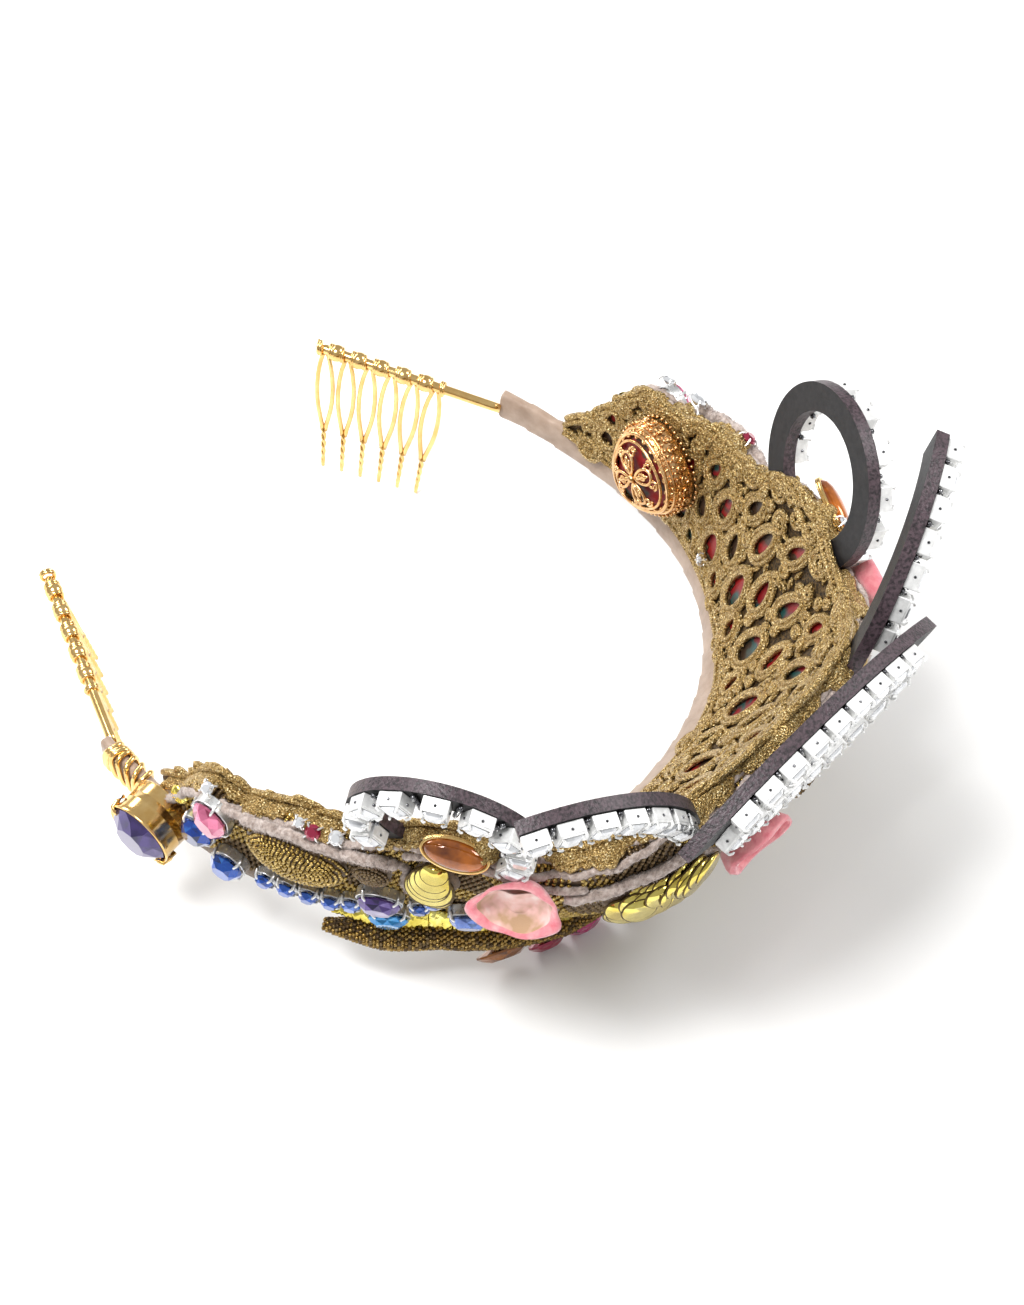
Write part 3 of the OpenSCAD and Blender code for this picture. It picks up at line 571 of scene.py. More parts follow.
def lace():
    """Guipure of thick gold cord: loops round the openings, scrolls between them, a scalloped edge."""
    rng = random.Random(5)
    b = Build()
    holes = lace_holes()
    level_n = -.75

    def lay(u, z, flat_path, r, closed=False, lift=0.0, flat=1.0):
        uu, zz = off(u, z, flat_path[:, 0], flat_path[:, 1])
        b.add(*tube(at(uu, zz, level_n - lift), r, 5, closed, flat, axes(uu, zz)[2]))

    spots = []
    for u, z, w, h, tilt in holes:
        c, s = cos_sin(tilt)
        a = circle(16)
        for grow, r, lift in ((.55, .72, .25), (1.85, .62, .1)):
            x = (w + grow) * np.cos(a) * (1 - .22 * np.sin(a))
            y = (h + grow) * np.sin(a)
            lay(u, z, np.stack([x * c - y * s, x * s + y * c], -1), r, True, lift, flat=1.15)
        spots.append((wall(u, z), w, h))
    centres = np.array([s[0] for s in spots])
    reach = np.array([max(s[1], s[2] * .8) + 2.3 for s in spots])
    # scrolls thrown between the openings, each as large as its place allows
    done, smallest, largest = [], 1.35, 3.9
    for _ in range(9000):
        u = rng.uniform(-WALL_END + 2, WALL_END - 2)
        tall = wall_top(u)
        if rng.random() > (tall - WALL_FOOT) / 58:
            continue
        z = rng.uniform(WALL_FOOT + .6, tall - .5)
        p = wall(u, z)
        room = min(largest, (np.linalg.norm(centres - p, axis=1) - reach).min() + .9)
        for q, r in done:
            room = min(room, np.linalg.norm(q - p) - r)
            if room < smallest:
                break
        if room < smallest:
            continue
        done.append((p, room + .25))
        turns = .75 + .32 * room
        lay(u, z, spiral(turns, .35, room - .1, rng.uniform(0, 6.28), rng.choice((-1, 1)), int(9 + 5 * room)),
            .66, lift=.15 + rng.uniform(0, .35), flat=1.2)
    # short leaves that fill the corners
    for _ in range(900):
        u = rng.uniform(-WALL_END + 2, WALL_END - 2)
        z = rng.uniform(WALL_FOOT, wall_top(u) - 1)
        p = wall(u, z)
        if (np.linalg.norm(centres - p, axis=1) - reach + 1.2).min() < 0:
            continue
        w = rng.uniform(0, 6.28)
        t = np.linspace(-1, 1, 5)[:, None]
        bend = rng.uniform(-.6, .6)
        q = 1.7 * t * (math.cos(w), math.sin(w)) + bend * (1 - t * t) * (-math.sin(w), math.cos(w))
        lay(u, z, q, np.array([.2, .55, .7, .55, .2]), lift=-.1)
    # bottom and top edge cords
    us = np.arange(-WALL_END, WALL_END + .1, .8)
    b.add(*tube(at(us, WALL_FOOT + .3 + 0 * us, -.8 + 0 * us), .75, 6))
    b.add(*tube(at(us, WALL_FOOT + 1.9 + 0 * us, -.9 + 0 * us), .6, 6))
    lobes = wall_top(us) - .3 + 1.5 * np.abs(np.sin(np.radians(360 * us / PITCH_ALONG / 2)))
    for drop, r, n in ((0, .85, -.5), (1.7, .7, -.95)):
        b.add(*tube(at(us, lobes - drop, n + 0 * us), r, 6))
    for k, u in enumerate(np.arange(-WALL_END + 3, WALL_END - 2, PITCH_ALONG / 2), 1):
        lay(u, wall_top(u) + .1, spiral(1.3, .3, 2.3, 3.1 * (k % 2), 1 if k % 2 else -1, 16), .7, lift=.1)
    b.piece("gold_cord_lace", [GOLD_CORD], "lace_lining", slot="gold_lace")


def net():
    """Thin gold net that the cord is worked on, open at the lace's openings; its near-black colour is painted
    shade between the cords.
    """
    b = Build()
    us = np.arange(-WALL_END, WALL_END + .1, 1.0)
    k = 50
    z = WALL_FOOT + (wall_top(us)[:, None] - WALL_FOOT) * np.linspace(0, 1, k)
    uu = us[:, None] + 0 * z
    pts = at(uu, z, -.3 + 0 * z)
    keep = np.ones((len(us) - 1, k - 1), bool)
    cu, cz = (uu[:-1, :-1] + uu[1:, 1:]) / 2, (z[:-1, :-1] + z[1:, 1:]) / 2
    for u, h, w, tall, tilt in lace_holes():
        near = np.abs(cu - u) < 8
        x = (cu - u) * 1.25
        y = (cz - h) / .85
        c, s = cos_sin(tilt)
        xr, yr = x * c + y * s, y * c - x * s
        keep &= ~(near & ((xr / (w + .3)) ** 2 + (yr / (tall + .3)) ** 2 < 1))
    faces = [f for f, ok in zip(grid_faces(len(us), k), keep.reshape(-1)) if ok]
    b.add(pts, faces)
    thicken(b.piece("gold_net_painted_shade", [GOLD_NET_SHADE], slot="gold_lace"), .3)


# combs
SPINE_ROOT, SPINE_END = np.array((63.6, 23.4, 3.6)), np.array((45.6, 58.9, 10.9))
TOOTH_ROOT, TOOTH_END = np.array((-8.2, 1.2, -31.3)), np.array((-7.5, -6.2, -31.4))
EYE = [(0, 0), (.06, .42), (.13, .78), (.22, 1.04), (.32, 1.15), (.42, 1.08), (.5, .86), (.57, .56),
       (.63, .28), (.68, .13)]
TEETH, PITCH, WIRE = 6, 5.4, 1.1
WRAP_BEAD = [(-1.5, .9), (-1.3, 1.6), (-.7, 1.95), (0, 2.05), (.7, 1.95), (1.3, 1.6), (1.5, .9)]


def comb():
    b = Build()
    spine = SPINE_END - SPINE_ROOT
    x, span = unit(spine), np.linalg.norm(spine)
    down = unit(TOOTH_END)
    path = [SPINE_ROOT - x * 2, SPINE_ROOT, SPINE_ROOT + spine * .5, SPINE_END + x * .4, SPINE_END + x * 1.1]
    b.add(*tube(path, [1.1, 1.15, 1.15, 1.15, .7], 12, up=down))
    for k in range(TEETH):
        f = 1 - k * PITCH / span
        foot = SPINE_ROOT + f * spine
        reach = f * TOOTH_END + (1 - f) * TOOTH_ROOT
        for s in (-1, 1):
            path = [foot + e * reach + s * (w * 1.55 + .12) * x for e, w in EYE]
            b.add(*tube(path, WIRE / 2, 8, up=x))
            # the wire turns once round the spine beside the tooth
            coil = [foot + x * s * (1.0 + .5 * a / (2 * math.pi))
                    + 1.55 * (math.cos(a) * down + math.sin(a) * np.cross(x, down))
                    for a in np.linspace(0, 3.4 * math.pi, 26)]
            b.add(*tube(coil, .42, 6, up=x))
        # twisted tip
        w = np.linspace(0, 1, 26)
        for s in (0, math.pi):
            path = [foot + (.66 + .32 * t) * reach
                    + .34 * (1 - .7 * t) * (math.cos(v) * x + math.sin(v) * np.cross(x, down))
                    for t, v in zip(w, w * 15 + s)]
            b.add(*tube(path, .42, 6, up=x))
        if k < TEETH - 1:
            centre = foot - x * PITCH * .5
            b.add(*tube([centre + x * h for h, _ in WRAP_BEAD], [r for _, r in WRAP_BEAD], 14, up=down))
    return b


# hem and piping
HEM_END = 60


def taper(us):
    """Share of its full size that the roll has at plan angles us."""
    return np.minimum(1, .3 + (HEM_END - np.abs(us)) / 15)


def hem_line(us):
    """Middle of the roll and its radius at plan angles us."""
    size = HEM_R * taper(us)
    return at(us, -.5 + 2 * np.cos(np.radians(us * 90 / HEM_END)), seat(us, 0 * us) + HEM_R), size


def hem():
    """Roll closely covered in small bronze beads, tapering to its ends."""
    b = Build()
    us = np.linspace(-HEM_END, HEM_END, 200)
    path, size = hem_line(us)
    b.add(*tube(path, size * .93, 12), slot=1)
    rng = random.Random(3)
    for i in range(len(us) - 1):
        _, y, out = axes(us[i], 0)
        count = max(int(2 * math.pi * size[i] / 1.15), 6)
        for j in range(count):
            w = 2 * math.pi * (j + (i % 2) / 2) / count + rng.uniform(-.05, .05)
            radial = math.cos(w) * out + math.sin(w) * y
            dark = rng.random() < .3
            b.bead(path[i] + radial * size[i] * .97, rng.uniform(.5, .64), 2 if dark else 0)
    b.piece("bronze_bead_roll", [BEADS, FELT, DARK_SEED], "hem_roll", slot="bronze_beads")


def gold_strip():
    """Strip of mirror-gold cloth between the roll and the wall, gathered in small puckers."""
    b = Build()
    us = np.linspace(-HEM_END + .5, HEM_END - .5, 420)[:, None]
    f = np.linspace(0, 1, 9)[None]
    share = taper(us)
    pucker = .22 * np.sin(us * 3.1) * np.sin(math.pi * f) + .16 * np.sin(us * 7.7 + 2 * f)
    z = 3.2 + 3.8 * f * share + 0 * us
    n = seat(us, z) + (1 - f) * 3.2 * share + .25 + .8 * np.sin(math.pi * f) + pucker
    b.add(at(us + 0 * f, z, n), grid_faces(420, 9))
    thicken(b.piece("gold_cloth_strip", [FOIL], slot="gold_foil"), .4)


DOME_PIPING = [(72.6, 35), (69, 36.6), (64.5, 38.8), (59, 38.6), (54.5, 38.8), (50, 40.6), (46.6, 42)]
FRONT_PIPING = {1: [(21.5, 35.2), (18, 36.8), (14.5, 38.4), (10.5, 40.3), (6, 42.3), (1.8, 44)],
                -1: [(25.4, 45.4), (21.5, 47.6), (17.5, 50), (13, 52), (8, 53.2), (3, 53.4)]}
# thinner chenille that outlines the pear, the dark pad, the foil and the crest's foot
ARM_OUTLINES = [[(88, 17), (86, 23), (83.4, 29), (80, 32), (76.4, 32.4), (73.4, 33.4)],
                [(46.2, 41), (45, 36), (45.4, 29), (44.6, 23)]]
OUTLINES = {1: ARM_OUTLINES + [[(3, 50), (7, 53), (12, 55), (18, 53.6), (23, 49.6), (27, 47.4)],
                               [(21, 33), (17, 30), (12, 28), (7, 28.6), (3.6, 32)]],
            -1: ARM_OUTLINES + [[(10.6, 47), (8, 42.6), (4, 41), (.4, 42)],
                                [(24, 48), (29, 47.4), (34, 50), (40, 50), (46, 46)]]}


def smooth(points, count):
    """Catmull-Rom curve through rows of numbers."""
    p = np.array(points, float)
    p = np.concatenate([2 * p[:1] - p[1:2], p, 2 * p[-1:] - p[-2:-1]])
    out = []
    for v in np.linspace(0, len(points) - 1.0001, count):
        i = int(v)
        t = v - i
        a, b_, c, d = p[i:i + 4]
        out.append(.5 * (2 * b_ + (c - a) * t + (2 * a - 5 * b_ + 4 * c - d) * t * t
                         + (3 * b_ - a - 3 * c + d) * t ** 3))
    return np.array(out)


def chenille(b, path, r, seed):
    """Furry cord: a lumpy core and short pile."""
    rng = random.Random(seed)
    m = len(path)
    wob = np.array([r * (1 + .08 * math.sin(i * 1.9) + rng.uniform(-.06, .06)) for i in range(m)])
    wob[[0, -1]] *= .6
    b.add(*tube(path, wob * .9, 10))
    t = unit(np.concatenate([path[1:], path[-1:]]) - np.concatenate([path[:1], path[:-1]]))
    blade = np.array([(-.09, 0, 0), (.09, 0, 0), (0, 0, 1)])
    for i in range(1, m - 1):
        for _ in range(26):
            w = rng.uniform(0, 6.28)
            x = unit(np.cross(t[i], (.1, .2, 1)))
            y = np.cross(t[i], x)
            d = unit(math.cos(w) * x + math.sin(w) * y + t[i] * rng.uniform(-.5, .5))
            side = unit(np.cross(d, (rng.uniform(-1, 1), rng.uniform(-1, 1), rng.uniform(-1, 1))))
            o = path[i] + t[i] * rng.uniform(-.3, .3) + d * r * .72
            long = .55 * r + rng.uniform(0, .15)
            b.many(blade, [(0, 1, 2)], [(o, np.stack([side, np.cross(d, side), d]), long)])


def over(q, lift):
    """Path lift mm over the padding, through rows of plan angle and height."""
    return at(q[:, 0], q[:, 1], seat(q[:, 0], q[:, 1]) + lift)


def piping(side):
    b = Build()
    for k, run in enumerate((DOME_PIPING, FRONT_PIPING[side])):
        q = smooth(run, 70 if k == 0 else 46)
        q[:, 1] += .35 * np.sin(np.arange(len(q)) * .55)
        chenille(b, over(q, 1.7), 1.5, 11 + k)
    return b


def outlines(side):
    b = Build()
    for k, run in enumerate(OUTLINES[side]):
        q = smooth(run, 12 * len(run))
        q[:, 0] += .25 * np.sin(np.arange(len(q)) * .6)
        chenille(b, over(q, .9), 1.0, 31 + k)
    return b


# pads
# plan angle, height, half length, half height, spin, swell, point
DOME_PAD = (64, 26.4, 10.8, 9.8, -3, 4.4, 0)
DARK_PAD = (50.6, 31, 4, 6.2, 0, 2.8, 0)
FRONT_BEADS = {1: (9.5, 33.5, 12, 4.6, -22, 5, .4), -1: (3.4, 45, 5, 5, 0, 3.2, 0)}
ARM_SEQUINS = (40.6, 36, 5.2, 9, -6, 3.2, .3)
FRONT_SEQUINS = (15, 41.4, 11, 6.6, -14, 3.4, .5)
FRONT_FOIL = (15, 46.5, 12, 6, -24, 5, .6)
END_FOIL = (86, 22.4, 2.2, 2.6, 0, 2.2, 0)
PROFILE = np.array([(0, 1), (.25, .985), (.4, .97), (.55, .92), (.72, .83), (.9, .62), (.97, .45),
                    (1.02, .25), (1, 0)])


def on_pad(pad, f, w, lift=0.0):
    """Point of a pad's skin at share f of the way to its rim, in direction w (radians)."""
    u, z, a, b_, spin, swell, point = pad
    f, w = np.broadcast_arrays(np.asarray(f, float), np.asarray(w, float))
    x = a * f * np.cos(w) * (1 - point * np.abs(np.sin(w)) * .3)
    y = b_ * f * np.sin(w)
    c, s = cos_sin(spin)
    uu, zz = off(u, z, x * c - y * s, x * s + y * c)
    h = swell * np.interp(f, PROFILE[:, 0], PROFILE[:, 1])
    return at(uu, zz, seat(uu, zz) + h + lift), uu, zz


def pad_core(b, pad, slot):
    """Felt under the beads or sequins, .25 mm below the pad's skin."""
    sides = 30
    f = np.concatenate([[.02], np.linspace(.2, 1, 9), [1.0]])[:, None]
    pts, uu, zz = on_pad(pad, f, circle(sides)[None], -.25)
    pts[-1] = at(uu[-1], zz[-1], seat(uu[-1], zz[-1]))
    faces = [g[::-1] for g in grid_faces(len(f), sides, True)]
    b.add(pts, faces + [tuple(range(sides))], slot)


def bead_field(b, pad, pitch, r, slot, seed):
    """Seed beads sewn in rings that follow the pad's edge."""
    rng = random.Random(seed)
    mean = (pad[2] + pad[3]) / 2
    f = 1.0
    while f > 0:
        round_ = 2 * math.pi * mean * f
        count = max(int(round_ / pitch), 1)
        shift = rng.random()
        for i in range(count):
            w = 2 * math.pi * (i + shift) / count + rng.uniform(-.1, .1) / max(count, 8)
            p = on_pad(pad, max(f + rng.uniform(-.012, .012), 0), w)[0]
            b.bead(p, r * rng.uniform(.88, 1.12), slot)
        f -= pitch * .9 / mean


def seed_pads(side):
    b = Build()
    for i, pad in enumerate((DOME_PAD, DARK_PAD, FRONT_BEADS[side])):
        pad_core(b, pad, 2)
        bead_field(b, pad, .92 if i < 2 else 1.05, .5 if i < 2 else .56, 1 if i else 0, 20 + i)
    return b


def sequin_stack(b, pad, columns, rows, size, seed):
    """Large thin mirror sequins laid like scales, each lapping the one below it; each rim is dark as painted
    shade.
    """
    disc = lathe([(.1, .02), (.88, .06), (.92, .115)], 30)
    # the rim takes the dark third material: painted shade along each lapped edge
    rim = lathe([(.1, -.04), (1.0, .0), (.99, .085)], 30)
    rng = random.Random(seed)
    for i in range(rows):
        t = -.84 + 1.7 * i / (rows - 1)
        for j in range(columns):
            s = 0
            if columns > 1:
                s = (2 * j / (columns - 1) - 1 + .5 / columns * (-1) ** i) * .7 * math.sqrt(1.05 - t * t)
            f, w = min(math.hypot(s, t), .97), math.atan2(t, s)
            p, uu, zz = on_pad(pad, f, w, .5 + .1 * rng.random())
            x, y, out = axes(uu, zz)
            lean = unit(out + y * (.42 + .25 * t) + x * (.35 * s + rng.uniform(-.06, .06)))
            x_axis = unit(np.cross(y, lean))
            width = size * math.sqrt(1.15 - t * t) * rng.uniform(.92, 1.04)
            spot = (p, np.stack([x_axis, np.cross(lean, x_axis), lean]), width)
            b.many(*disc, [spot])
            b.many(*rim, [spot], 2)


def sequin_pads(side):
    b = Build()
    pad_core(b, ARM_SEQUINS, 1)
    sequin_stack(b, ARM_SEQUINS, 1, 10, 5.0, 1)
    if side < 0:
        pad_core(b, FRONT_SEQUINS, 1)
        sequin_stack(b, FRONT_SEQUINS, 6, 7, 3.9, 2)
    return b


def foil_pads(side):
    """Folded, crinkled gold cloth puffs: long sharp folds across the pad."""
    b = Build()
    rows, sides = 26, 96
    for pad in (END_FOIL, FRONT_FOIL)[:2 if side > 0 else 1]:
        f = np.concatenate([[.01], np.linspace(.06, 1, rows), [1.0]])[:, None]
        w = circle(sides)[None]
        x, y = f * np.cos(w), f * np.sin(w)
        folds = (.55 * np.abs(((x * 2.2 + .55 * np.sin(3 * y + 1)) % 1) * 2 - 1) + .3 * np.sin(9 * y + 6 * x)
                 + .22 * np.sin(17 * x - 11 * y))
        fade = np.clip((1.02 - f) * 6, 0, 1) * min(1, pad[2] / 8)
        pts, uu, zz = on_pad(pad, f, w, -.5 + .95 * folds * fade)
        pts[-1] = at(uu[-1], zz[-1], seat(uu[-1], zz[-1]))
        faces = [g[::-1] for g in grid_faces(rows + 2, sides, True)]
        b.add(pts, faces + [tuple(range(sides))])
    return b


def covers(pad, u, z):
    """Whether an upright pad covers the point (u, z)."""
    pu, pz, a, c, spin = pad[:5]
    x = (u - pu) * float(mm_per_degree(pu, pz))
    y = (z - pz) / float(rise(pu, pz))
    return (x / (a * .95)) ** 2 + (y / (c * .95)) ** 2 < .8 and abs(spin) < 10


def carpet():
    """Bronze seed beads sewn over all of the wall's outside that carries no pad."""
    rng = random.Random(12)
    b = Build()
    pads = {s: [DOME_PAD, DARK_PAD, ARM_SEQUINS, END_FOIL, FRONT_BEADS[s]]
            + ([FRONT_FOIL] if s > 0 else [FRONT_SEQUINS]) for s in (1, -1)}
    pitch = 1.42
    for row in range(60):
        z = 6.2 + row * pitch * .8
        step = pitch / float(mm_per_degree(30, z))
        u = -WALL_END + 1 + (row % 2) * step / 2
        while u < WALL_END - .5:
            u += pitch / float(mm_per_degree(u, z))
            if z > wall_top(u) - 2.9 or z < 6 + 2.5 * (abs(u) < 62):
                continue
            if any(covers(pad, abs(u), z) for pad in pads[1 if u > 0 else -1]):
                continue
            p = at(u, z, float(backing_out(u, z)) + .35)
            patch = math.sin(u * .35 + 2) + math.sin(z * .3 + u * .11)
            b.bead(p, rng.uniform(.58, .74), int(patch > .5))
    b.piece("bead_carpet", [SEED, DARK_SEED], slot="seed_beads")


def lid(u, f, lift=0.0):
    """Point on the wall's padded top: f 0 at the lace, 1 at the outer edge."""
    z = wall_top(u) - PAD_DROP
    reach = backing_out(u, z)
    return at(u, z + .25 + lift - .5 * f, f * reach)


def top_cloth():
    """Gold cloth gathered over the wall's top, in soft puckers, from the lace outwards."""
    b = Build()
    us = np.linspace(-WALL_END + 1, WALL_END - 1, 560)[:, None]
    f = np.linspace(-.1, .62, 8)[None]
    wave = .5 * np.sin(us * 1.9 + 3 * f) + .35 * np.sin(us * 4.3 - 5 * f) + .2 * np.sin(us * .7)
    puff = .35 + (.55 + wave) * np.sin(math.pi * (f + .1) / .72)
    b.add(lid(us + .3 * np.sin(9 * f + us), f, puff), grid_faces(560, 8))
    thicken(b.piece("orange_gold_cloth", [TOP_GOLD], slot="gold_foil"), .3)


def curled_edge():
    """Lace edge that turns over the wall's top in uneven scallops, with a corded rim."""
    b = Build()
    count, k = 700, 9
    us = np.linspace(-WALL_END + 1.5, WALL_END - 1.5, count)
    size = 2.1 + .8 * np.sin(us * .52 + 1) + .5 * np.sin(us * 1.37)
    rows = []
    for j in range(k):
        a = math.radians(-25 + 175 * j / (k - 1))
        rows.append(at(us, wall_top(us) - 1.6 + size * np.sin(a) * .8, -.9 + size * (1 - math.cos(a)) * .95))
    b.add(np.stack(rows, 1), grid_faces(count, k))
    rim = rows[-1] + .25 * np.stack([np.sin(us * 5)] * 3, -1)
    b.add(*tube(rim, .62, 6, up=(.2, .3, 1)))
    for u in np.arange(-WALL_END + 3, WALL_END - 3, 2.6):
        s = 1.5 + .5 * math.sin(u * 1.3)
        w = circle(12)
        path = at(u + s * .75 * np.cos(w) / mm_per_degree(u, 30), wall_top(u) - .6 + s * np.sin(w),
                  -1.0 + .8 * np.maximum(np.sin(w), 0))
        b.add(*tube(path, .48, 5, True))
    thicken(b.piece("curled_lace_edge", [GOLD_CORD], slot="gold_lace"), .4, 0)


def top_beads():
    """Seed beads in curved rows over the outer part of the wall's top."""
    rng = random.Random(8)
    b = Build()
    for j in range(9):
        f = .5 + .52 * j / 8
        u = -WALL_END + 3
        while u < WALL_END - 3:
            z = float(wall_top(u)) - PAD_DROP
            u += 1.32 / float(mm_per_degree(u, z))
            if float(backing_out(u, z)) < 5 and j % 2:
                continue
            p = lid(u, f + .03 * math.sin(u * .8), .3)
            b.bead(p, rng.uniform(.56, .72), int(math.sin(u * .31 + 1) > .55))
    b.piece("top_beads", [SEED, DARK_SEED], slot="seed_beads")


def top_chenille():
    """Chenille that wanders along the outer edge of the wall's top."""
    b = Build()
    us = np.linspace(-78, 78, 520)
    chenille(b, lid(us, .93 + .13 * np.sin(us * .55) + .05 * np.sin(us * 1.7), .6), 1.0, 51)
    us = np.linspace(-30, 30, 200)
    chenille(b, lid(us, .42 + .12 * np.sin(us * .8 + 2), .7), .9, 52)
    b.piece("top_chenille", [CHENILLE], slot="chenille")


# flowers, ambers, boss
def petal_cup(origin, m, wide, tall, deep, seed=1):
    """Curled flocked rim round a pale hollow with a leaf on one edge."""
    b = Build()
    flock, pale, leaf = 0, 1, 2
    rows = [(.2, -.02), (.62, .2), (.88, .55), (1.02, .92), (1.06, 1.08), (1.0, 1.2), (.9, 1.17), (.84, 1.0),
            (.72, .62), (.5, .36), (.22, .26)]
    k = 60
    w = circle(k)
    wave = 1 + .09 * np.cos(3 * w) + .03 * np.sin(7 * w + seed)
    pts = []
    for i, (r, h) in enumerate(rows):
        curl = .07 * np.sin(3 * w + .6 * i + seed) * (i > 1) * (i < 8)
        pts.append(np.stack([wide * r * np.cos(w) * (wave + curl), tall * r * np.sin(w) * (wave + curl),
                             deep * (h + .06 * np.sin(3 * w + seed) * (h > .5)) + 0 * w], -1))
    b.add(origin + np.concatenate(pts) @ m, grid_faces(len(rows), k, True) + caps(len(rows), k)[::-1])
    for i in range(k * (len(rows) - 1)):
        row, degrees = i // k, (i % k) * 360 / k
        b.slots[i] = leaf if row < 4 and 200 < degrees < 300 else flock if row < 7 else pale
    b.slots[-2:] = [pale, flock]
    # one inner petal that curls up from the hollow
    gx = np.linspace(-1, 1, 13)[:, None]
    gy = np.linspace(0, 1, 10)[None]
    px = wide * .6 * gx * (1 - .3 * gy ** 2)
    py = tall * (-.45 + .95 * gy) + 0 * gx
    pz = deep * (.36 + .42 * gy ** 1.5 - .16 * gx ** 2 + .05 * np.sin(5 * gx + seed))
    p = np.stack([px, py, pz + 0 * px], -1).reshape(-1, 3)
    g = grid_faces(13, 10)
    b.add(origin + np.concatenate([p, p - (0, 0, .4)]) @ m,
          g + [tuple(v + len(p) for v in f[::-1]) for f in g], pale)
    return b


def turned(m, degrees):
    """Axes m turned about their own first axis."""
    c, s = cos_sin(degrees)
    return np.stack([m[0], c * m[1] + s * m[2], c * m[2] - s * m[1]])


FLOWER_PLACE, FRONT_FLOWER, AMBER_PLACE = (30, 44.6), (2, 23), (38.6, 53)


def side_flower():
    o, m = place(*FLOWER_PLACE, seat(*FLOWER_PLACE) + 1.9, -8)
    return petal_cup(o, turned(m, -38), 9.2, 6.6, 5.0)


def front_flower():
    o, m = place(*FRONT_FLOWER, seat(*FRONT_FLOWER) + .4, 12)
    return petal_cup(o, turned(m, -20), 8.6, 6.2, 7.8, seed=3)


def amber():
    b = Build()
    o, m = place(*AMBER_PLACE, seat(*AMBER_PLACE) + .1, 8)
    m = turned(m, -50)
    rows = [(1, 0), (1, .5), (.96, 1.3), (.84, 2.1), (.62, 2.7), (.32, 3.0), (.03, 3.1)]
    pts, faces = lathe(rows, 40, (6.9, 3.2))
    b.add(o + pts @ m, faces, 0)
    w = circle(60)
    ring = np.stack([7.15 * np.cos(w), 3.4 * np.sin(w), .75 + 0 * w], -1)
    b.add(*tube(o + ring @ m, .42, 8, True, up=m[2]), slot=1)
    b.add(*tube(o + (ring * (1.02, 1.04, .3)) @ m, .34, 8, True, up=m[2]), slot=1)
    return b


